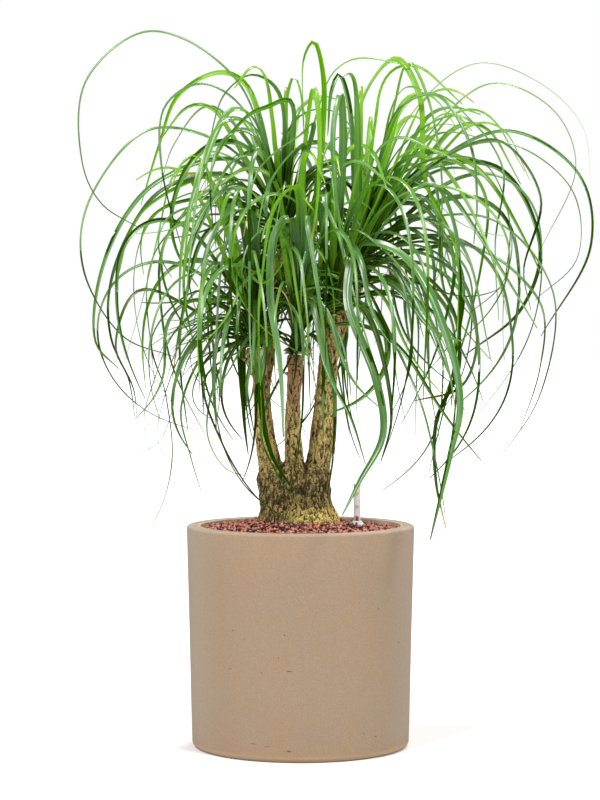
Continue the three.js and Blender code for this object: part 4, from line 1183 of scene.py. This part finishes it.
ROW_PITCH = 11
LEAF_ROWS = (10, 76)
LEAF_COLUMNS = 4
SLIM_COLUMNS = 2
SLIM_BELOW = 8
LEAF_THICKNESS = 0.5
LEAF_CHANNEL = 0.24
LEAF_RIPPLE = 0.14
SHEATH_FLARE = 0.9
# How late each head's leaves draw out to their tips, and some leaves by (head, width)
LEAF_TAPER = {"left": 2.4, "centre": 2.3, "right": 1.8, "upper": 2.3, "fan": 1.6}
SLIM_TAPER = 2.0
OWN_TAPER = {
    ("right", 13): 6, ("left", 13): 1.0, ("left", 6): 9, ("left", 7): 6, ("left", 8): 5,
    ("right", 7): 7, ("right", 8): 6, ("right", 14): 4, ("fan", 5): 5, ("fan", 6): 5,
    ("fan", 7): 5, ("fan", 8): 4, ("fan", 9): 4, ("upper", 8): 4, ("upper", 9): 3, ("upper", 10): 3,
}
# Leaves that hang dark and even in front: (head, width), with their tone, dryness and phase
EVEN_LEAVES = (("right", 13), ("left", 13))
EVEN_LOOK = (0.22, -0.3, -0.8)
CORE_RINGS = [(0.02, 0.85), (0.15, 1.0), (0.7, 0.55), (1.0, 0.3)]
CORE_SIDES = 16
LEAF_DARK_AND_SHADE = (0.006, 0.022, 0.003, 1)
LEAF_GREEN = (0.066, 0.225, 0.038, 1)
LEAF_FRESH = (0.240, 0.520, 0.006, 1)
LEAF_ROOT = (0.400, 0.480, 0.060, 1)
LEAF_YELLOW = (0.600, 0.500, 0.060, 1)
LEAF_STRAW = (0.480, 0.350, 0.170, 1)
LEAF_LIT = (1.6, 1.9, 0.7, 1)
LEAF_GLOW = (0.360, 0.780, 0.001, 1)
TURNED_TO_FRONT = 48
# Leaves get painted shade near the root, fading out between these lengths from it, apart from the young
# ones
SHADED_ROOTS = (50, 220)
YOUNG_SHARE = 0.95


def leaf_material():
    material, tree, shader, where = new_material("strap_leaf")
    uv = put(tree, "ShaderNodeUVMap", uv_map="leaf_uv").outputs[0]
    across, along = (part_of(tree, uv, axis) for axis in "XY")
    tone, dry = painted(tree, "tone"), painted(tree, "dry")
    drawn_out = put(tree, "ShaderNodeMapping", {"Vector": uv, "Scale": (22, 2.2, 1)}).outputs[0]
    on_leaf = put(tree, "ShaderNodeVectorMath", {0: drawn_out, 1: where}).outputs[0]
    veins = grain(tree, on_leaf, 1.0, 3, 0.6)
    cloud = grain(tree, where, 22, 3)
    # Low tone is dark leaf colour, and near the roots it is painted shade inside the crown
    colour = blend_colour(tree, ramp(tree, tone, 0.05, 0.35), LEAF_DARK_AND_SHADE, LEAF_GREEN)
    colour = blend_colour(tree, ramp(tree, tone, 0.6, 1.0, 0, 0.9), colour, LEAF_FRESH)
    colour = blend_colour(tree, ramp(tree, cloud, 0.4, 0.65, 0, 0.15), colour, LEAF_FRESH)
    colour = shaded(tree, colour, veins, 0.72, 1.25)
    # The midrib and the edges are fresher, the root is pale
    off_middle = maths(tree, "ABSOLUTE", from_middle(tree, across))
    colour = blend_colour(tree, ramp(tree, off_middle, 0.015, 0.07, 0.4, 0), colour, LEAF_FRESH)
    colour = blend_colour(tree, ramp(tree, off_middle, 0.43, 0.5, 0, 0.45), colour, LEAF_FRESH)
    colour = blend_colour(tree, ramp(tree, along, 0.0, 0.03, 0.5, 0), colour, LEAF_ROOT)
    # Old leaves turn yellow and then straw from the tip
    ragged = maths(tree, "ADD", along, times(tree, from_middle(tree, cloud), 0.2))
    age = maths(tree, "ADD", ragged, maths(tree, "SUBTRACT", dry, 1.0))
    colour = blend_colour(tree, ramp(tree, age, -0.06, 0.0), colour, LEAF_YELLOW)
    colour = blend_colour(tree, ramp(tree, age, -0.02, 0.04), colour, LEAF_STRAW)
    tree.links.new(colour, shader.inputs["Base Color"])
    tree.links.new(ramp(tree, veins, 0.3, 0.7, 0.28, 0.36), shader.inputs["Roughness"])
    tree.links.new(ramp(tree, tone, 0.0, 0.3, 0.15, 0.7), shader.inputs["Specular IOR Level"])
    waxy = times(tree, ramp(tree, tone, 0.0, 0.3, 0.05, 0.9), ramp(tree, tone, 0.75, 1.0, 1.0, 0.35))
    tree.links.new(waxy, shader.inputs["Coat Weight"])
    shader.inputs["Coat Roughness"].default_value = 0.3
    shader.inputs["Coat IOR"].default_value = 1.6
    bump(tree, shader, veins, 0.35, 0.0006)
    # Light comes through the blade, most where it is young
    glow = blend_colour(tree, 1.0, colour, LEAF_LIT, "MULTIPLY")
    glow = blend_colour(tree, 0.35, glow, LEAF_GLOW)
    through = put(tree, "ShaderNodeBsdfTranslucent", {"Color": glow}).outputs[0]
    thin = ramp(tree, tone, 0.6, 1.0, 0.14, 0.36)
    face = {0: thin, 1: shader.outputs[0], 2: through}
    face = put(tree, "ShaderNodeMixShader", face).outputs[0]
    inside = put(tree, "ShaderNodeNewGeometry").outputs["Backfacing"]
    clear = put(tree, "ShaderNodeBsdfTransparent").outputs[0]
    both = put(tree, "ShaderNodeMixShader", {0: inside, 1: face, 2: clear}).outputs[0]
    tree.links.new(both, tree.nodes["Material Output"].inputs["Surface"])
    return material


def strap(leaf, tone, dry, phase, columns, taper):
    """One leaf: a grid bent along its path, folded a little along the middle and wavy at its edges."""
    path, width, twist, share = leaf
    bm = bmesh.new()
    bm.loops.layers.uv.new("leaf_uv")
    tone_layer, dry_layer = (bm.verts.layers.float.new(key) for key in ("tone", "dry"))
    last = len(path) - 1
    length = sum((b - a).length for a, b in zip(path, path[1:]))
    rows = max(LEAF_ROWS[0], min(LEAF_ROWS[1], round(length / ROW_PITCH)))
    ways = [(path[min(k + 1, last)] - path[max(k - 1, 0)]).normalized() for k in range(last + 1)]
    way_out = path[last // 2] - path[0]
    sideways = way_out.x / max(way_out.to_2d().length, 1)
    roll = math.radians(TURNED_TO_FRONT) * sideways * (0.55 + 0.75 * math.sin(phase))
    side = ways[0].cross(Vector((0, 0, 1))).normalized()
    sides = []
    for way in ways:
        side = (side - way * side.dot(way)).normalized()
        sides.append(side)
    bmesh.ops.create_grid(bm, x_segments=columns, y_segments=rows, size=0.5, calc_uvs=True)
    frames = {}
    for vert in bm.verts:
        along = min(1.0, max(0.0, vert.co.y + 0.5))
        across = 2 * vert.co.x
        row = round(along * rows)
        if row not in frames:
            k = min(int(along * last), last - 1)
            inside = along * last - k
            way = ways[k].lerp(ways[k + 1], inside).normalized()
            level = sides[k].lerp(sides[k + 1], inside).normalized()
            spread = Matrix.Rotation(roll + twist * along, 3, way) @ level
            half = 0.5 * leaf_width(width, along, taper)
            half *= 1 + SHEATH_FLARE * (1 - smooth(along, 0, 0.07))
            middle = path[k].lerp(path[k + 1], inside)
            frames[row] = (middle, spread, spread.cross(way).normalized(), half)
        middle, spread, up, half = frames[row]
        wave = math.sin(along * 31 + phase) * math.sin(along * 9 + 2 * phase + across)
        lift = LEAF_CHANNEL * 2 * half * (abs(across) - 0.6) + LEAF_RIPPLE * wave * half * across
        vert.co = (middle + spread * half * across + up * lift) * MM
        # Painted shade near the root: the tone is lowered there
        shade = 1 - smooth(along * length, *SHADED_ROOTS) if share < YOUNG_SHARE else 0
        vert[tone_layer] = tone * (1 - shade)
        vert[dry_layer] = dry
    bmesh.ops.solidify(bm, geom=bm.faces[:], thickness=LEAF_THICKNESS * MM)
    return bm


def look_by_chance(share, chance):
    """A leaf's tone, which is fresher the younger it is, its age and its phase."""
    return 0.55 * share + 0.5 * next(chance), next(chance), 3.1 * next(chance)


leaf_finish = leaf_material()
for order, (name, head) in enumerate(HEADS.items()):
    foliage = bmesh.new()
    chance = draws_from(7001 + 13 * order)
    for leaf in leaves[name]:
        tone, age, phase = look_by_chance(leaf[3], chance)
        dry = 0.18 * smooth(age, 0.6, 1.0) - 0.12
        if (name, leaf[1]) in EVEN_LEAVES:
            tone, dry, phase = EVEN_LOOK
        taper = OWN_TAPER.get((name, leaf[1]), LEAF_TAPER[name])
        gather(foliage, strap(leaf, tone, dry, phase, LEAF_COLUMNS, taper))
    foot = Vector(head["foot"])
    core = [(part * head["tall"], size * head["round"]) for part, size in CORE_RINGS]
    add_limb(foliage, [(foot.x, foot.y, foot.z + up, size, size) for up, size in core], CORE_SIDES)
    finish_piece("head_" + name, foliage, leaf_finish, "leaves_" + name, 60)

    foliage = bmesh.new()
    for leaf in slim[name]:
        tone, age, phase = look_by_chance(leaf[3], chance)
        dry = 0.2 * smooth(age, 0.6, 1.0) - 0.12
        if leaf[3] > YOUNG_SHARE:
            tone = min(1, tone + 0.15)
        if age < DRY_SHARE and leaf[1] < 5:
            dry = 1.2
        columns = SLIM_COLUMNS if leaf[1] < SLIM_BELOW else LEAF_COLUMNS
        gather(foliage, strap(leaf, tone, dry, phase, columns, SLIM_TAPER))
    for leaf in bases[name]:
        dry, phase = 0.75 + 0.6 * next(chance), 3.1 * next(chance)
        gather(foliage, strap(leaf, 0.5, dry, phase, LEAF_COLUMNS, SLIM_TAPER))
    finish_piece("slim_leaves_" + name, foliage, leaf_finish, None, 60)

# ---- Water gauge ----
# A clear tube that stands on the planter's floor beside the trunk, with two yellow marks, a red
# indicator on its float, a cap pressed into its top and a pale collar lying on the granules.

GAUGE_RADIUS = 5.5
GAUGE_WALL = 1.2
GAUGE_FLOOR = 2
GAUGE_STEPS = 40
TUBE_FOOT = POT_FLOOR + FIT_GAP
tube_bore = GAUGE_RADIUS - GAUGE_WALL
TUBE_CLEAR = (0.96, 0.95, 0.98, 1)
TUBE_EDGE_SHADE = (0.3, 0.3, 0.32, 1)
CAP_PLUG = 6
CAP_OVERHANG = 0.6
CAP_HEIGHT = 3
CAP_CHAMFER = (1.6, 1.2)
CAP_CROWN = 0.6
CAP_WHITE = (0.82, 0.82, 0.85, 1)
FLOAT_TOP_Z = 348
FLOAT_RADIUS = 3.4
FLOAT_LENGTH = 60
FLOAT_SHOULDER = 4
ROD_RADIUS = 1.6
INDICATOR_RADIUS = 3.2
INDICATOR_HEIGHT = 7
FLOAT_RED = (0.36, 0.004, 0.008, 1)
FLOAT_ORANGE = (0.78, 0.26, 0.04, 1)
ORANGE_TIP = (2.5, 1)
# The marks on the tube: [height, half width, half height]
GAUGE_MARKS = [(383.5, 2.6, 2.3), (363.5, 2.6, 1.7)]
MARK_HALF_DEPTH = 0.5
MARK_BEVEL = 0.2
MARK_YELLOW = (0.86, 0.71, 0.34, 1)
COLLAR_HEIGHT = 8
COLLAR_EDGE = 1.5
COLLAR_TOP_RADIUS = 6.8
COLLAR_SEAT = 1.4
COLLAR_WHITE = (0.86, 0.87, 0.96, 1)


def plastic(name, colour, roughness, finish=None):
    """Moulded plastic, a little uneven; a finish adds what only one piece has."""
    material, tree, shader, where = new_material(name)
    shade = grain(tree, where, 140, 3)
    tint = shaded(tree, colour, shade, 0.92, 1.06)
    if finish:
        tint = finish(tree, shader, part_of(tree, where, "Z"), tint)
    tree.links.new(tint, shader.inputs["Base Color"])
    rough = ramp(tree, shade, 0.3, 0.7, roughness - 0.05, roughness + 0.05)
    tree.links.new(rough, shader.inputs["Roughness"])
    return material


def see_through(tree, shader, height, tint):
    """Clear in front of the float, milky above it and at the sides, open to light, and with painted shade
    at its edges.
    """
    edge = facing_edge(tree)
    milky = ramp(tree, height, FLOAT_TOP_Z * MM, (FLOAT_TOP_Z + 1) * MM, 0.06, 0.85)
    milky = maths(tree, "MAXIMUM", milky, ramp(tree, edge, 0.12, 0.3, 0.0, 0.85))
    shadow = put(tree, "ShaderNodeLightPath").outputs["Is Shadow Ray"]
    let_through = maths(tree, "SUBTRACT", 1.0, times(tree, shadow, 0.85))
    tree.links.new(times(tree, milky, let_through), shader.inputs["Alpha"])
    # Painted shade darkens the tube where it is seen edge on
    return blend_colour(tree, ramp(tree, edge, 0.45, 0.95, 0.0, 0.45), tint, TUBE_EDGE_SHADE)


def orange_tip(tree, shader, height, tint):
    """The top of the float is orange, and all of it is dull."""
    shader.inputs["Specular IOR Level"].default_value = 0.1
    low, high = ((FLOAT_TOP_Z - depth) * MM for depth in ORANGE_TIP)
    return blend_colour(tree, ramp(tree, height, low, high), tint, FLOAT_ORANGE)


def on_gauge(name, profile, material, replaced):
    """A piece of the gauge, turned about its axis."""
    finish_piece(name, turned_on(profile, GAUGE_STEPS, *GAUGE), material, replaced, 30)


clear = plastic("clear_tube", TUBE_CLEAR, 0.3, see_through)
on_gauge("tube", [
    (0, TUBE_FOOT), (GAUGE_RADIUS - 0.4, TUBE_FOOT), (GAUGE_RADIUS, TUBE_FOOT + 0.4),
    (GAUGE_RADIUS, GAUGE_TOP_Z - 0.4), (GAUGE_RADIUS - 0.3, GAUGE_TOP_Z), (tube_bore, GAUGE_TOP_Z),
    (tube_bore, TUBE_FOOT + GAUGE_FLOOR), (0, TUBE_FOOT + GAUGE_FLOOR),
], clear, "gauge_tube")

plug_radius = tube_bore - FIT_GAP
cap_radius = GAUGE_RADIUS + CAP_OVERHANG
cap_foot = GAUGE_TOP_Z + FIT_GAP
cap_edge = cap_foot + CAP_HEIGHT
cap_shoulder = (cap_radius - CAP_CHAMFER[0], cap_edge + CAP_CHAMFER[1])
on_gauge("cap", [
    (0, GAUGE_TOP_Z - CAP_PLUG), (plug_radius, GAUGE_TOP_Z - CAP_PLUG), (plug_radius, cap_foot),
    (cap_radius, cap_foot), (cap_radius, cap_edge), cap_shoulder, (0, cap_shoulder[1] + CAP_CROWN),
], plastic("cap_white", CAP_WHITE, 0.4), "gauge_cap")

float_foot = TUBE_FOOT + GAUGE_FLOOR + FIT_GAP
float_end = float_foot + FLOAT_LENGTH
indicator_foot = FLOAT_TOP_Z - INDICATOR_HEIGHT
on_gauge("float", [
    (0, float_foot), (FLOAT_RADIUS, float_foot), (FLOAT_RADIUS, float_end),
    (ROD_RADIUS, float_end + FLOAT_SHOULDER), (ROD_RADIUS, indicator_foot - 1),
    (INDICATOR_RADIUS, indicator_foot), (INDICATOR_RADIUS, FLOAT_TOP_Z), (0, FLOAT_TOP_Z),
], plastic("float_red", FLOAT_RED, 0.5, orange_tip), "gauge_float")

marks = bmesh.new()
for mark_z, half_wide, half_tall in GAUGE_MARKS:
    middle = Vector((GAUGE[0], GAUGE[1] - GAUGE_RADIUS, mark_z))
    shape = Matrix.Diagonal((half_wide, MARK_HALF_DEPTH, half_tall, 1))
    bmesh.ops.create_cube(marks, size=2 * MM, matrix=Matrix.Translation(middle * MM) @ shape)
bmesh.ops.bevel(marks, geom=marks.edges[:], offset=MARK_BEVEL * MM, segments=2, affect="EDGES")
finish_piece("gauge_marks", marks, plastic("mark_yellow", MARK_YELLOW, 0.5), None, 30)

collar_bore = GAUGE_RADIUS + FIT_GAP
collar_foot = GRANULE_EDGE_Z - COLLAR_SEAT
collar_top = collar_foot + COLLAR_HEIGHT
on_gauge("collar", [
    (collar_bore, collar_foot), (COLLAR_FOOT_RADIUS, collar_foot),
    (COLLAR_FOOT_RADIUS, collar_foot + COLLAR_EDGE), (COLLAR_TOP_RADIUS, collar_top),
    (collar_bore, collar_top), (collar_bore, collar_foot),
], plastic("collar_white", COLLAR_WHITE, 0.4), "gauge_collar")

# ---- Stage ----
# A plain pale floor, soft light from above and both sides, and a camera in front of the plant.

CAMERA_PLACE = (-0.0008, -3.863, 0.671)
CAMERA_TILT = 2.062
CAMERA_LENS = 113.22
# Wide soft lamps: [name, turn from the front, height in degrees, strength, width in degrees]
LAMPS = [
    ("left", -36, 48, 2.15, 12), ("right", 42, 45, 1.55, 12), ("back", 160, 50, 1.5, 20),
    ("far_left", -84, 20, 0.6, 30), ("far_right", 84, 20, 0.6, 30),
]
WHITE = (1, 1, 1, 1)
WORLD_LIGHT = 0.35
FLOOR_RADIUS_M = 30
FLOOR_PALE = ((0.86, 0.86, 0.86, 1), (0.9, 0.9, 0.9, 1))
FLOOR_BOUNCE = (0.4, 0.4, 0.4, 1)


def seen_by_camera(tree):
    return put(tree, "ShaderNodeLightPath").outputs["Is Camera Ray"]


floor_mesh = bpy.data.meshes.new("floor")
bm = bmesh.new()
bmesh.ops.create_circle(bm, cap_ends=True, segments=64, radius=FLOOR_RADIUS_M)
bm.to_mesh(floor_mesh)
bm.free()
floor = bpy.data.objects.new("floor", floor_mesh)
bpy.context.scene.collection.objects.link(floor)
material, tree, shader, where = new_material("pale_floor")
pale = blend_colour(tree, grain(tree, where, 3), *FLOOR_PALE)
tinted = blend_colour(tree, seen_by_camera(tree), FLOOR_BOUNCE, pale)
tree.links.new(tinted, shader.inputs["Base Color"])
shader.inputs["Roughness"].default_value = 0.8
shader.inputs["Specular IOR Level"].default_value = 0
floor.data.materials.append(material)

world = bpy.data.worlds.new("studio")
bpy.context.scene.world = world
world.use_nodes = True
tree = world.node_tree
lit = tree.nodes["Background"]
lit.inputs["Color"].default_value = WHITE
lit.inputs["Strength"].default_value = WORLD_LIGHT
backdrop = put(tree, "ShaderNodeBackground", {"Color": WHITE, "Strength": 1.0})
sockets = {0: seen_by_camera(tree), 1: lit.outputs[0], 2: backdrop.outputs[0]}
both = put(tree, "ShaderNodeMixShader", sockets)
tree.links.new(both.outputs[0], tree.nodes["World Output"].inputs["Surface"])
for name, turned, height, strength, wide in LAMPS:
    lamp = bpy.data.lights.new(name, "SUN")
    lamp.energy = strength
    lamp.angle = math.radians(wide)
    lamp = bpy.data.objects.new(name, lamp)
    lamp.rotation_euler = (math.radians(90 - height), 0, math.radians(turned))
    bpy.context.scene.collection.objects.link(lamp)
bpy.context.scene.view_settings.view_transform = "Standard"

camera = bpy.data.cameras.new("camera")
camera.lens = CAMERA_LENS
camera.sensor_width = 36
camera.clip_end = 100
camera = bpy.data.objects.new("camera", camera)
camera.location = CAMERA_PLACE
camera.rotation_euler = (math.radians(90 - CAMERA_TILT), 0, 0)
bpy.context.scene.collection.objects.link(camera)
bpy.context.scene.camera = camera

bpy.context.view_layer.update()
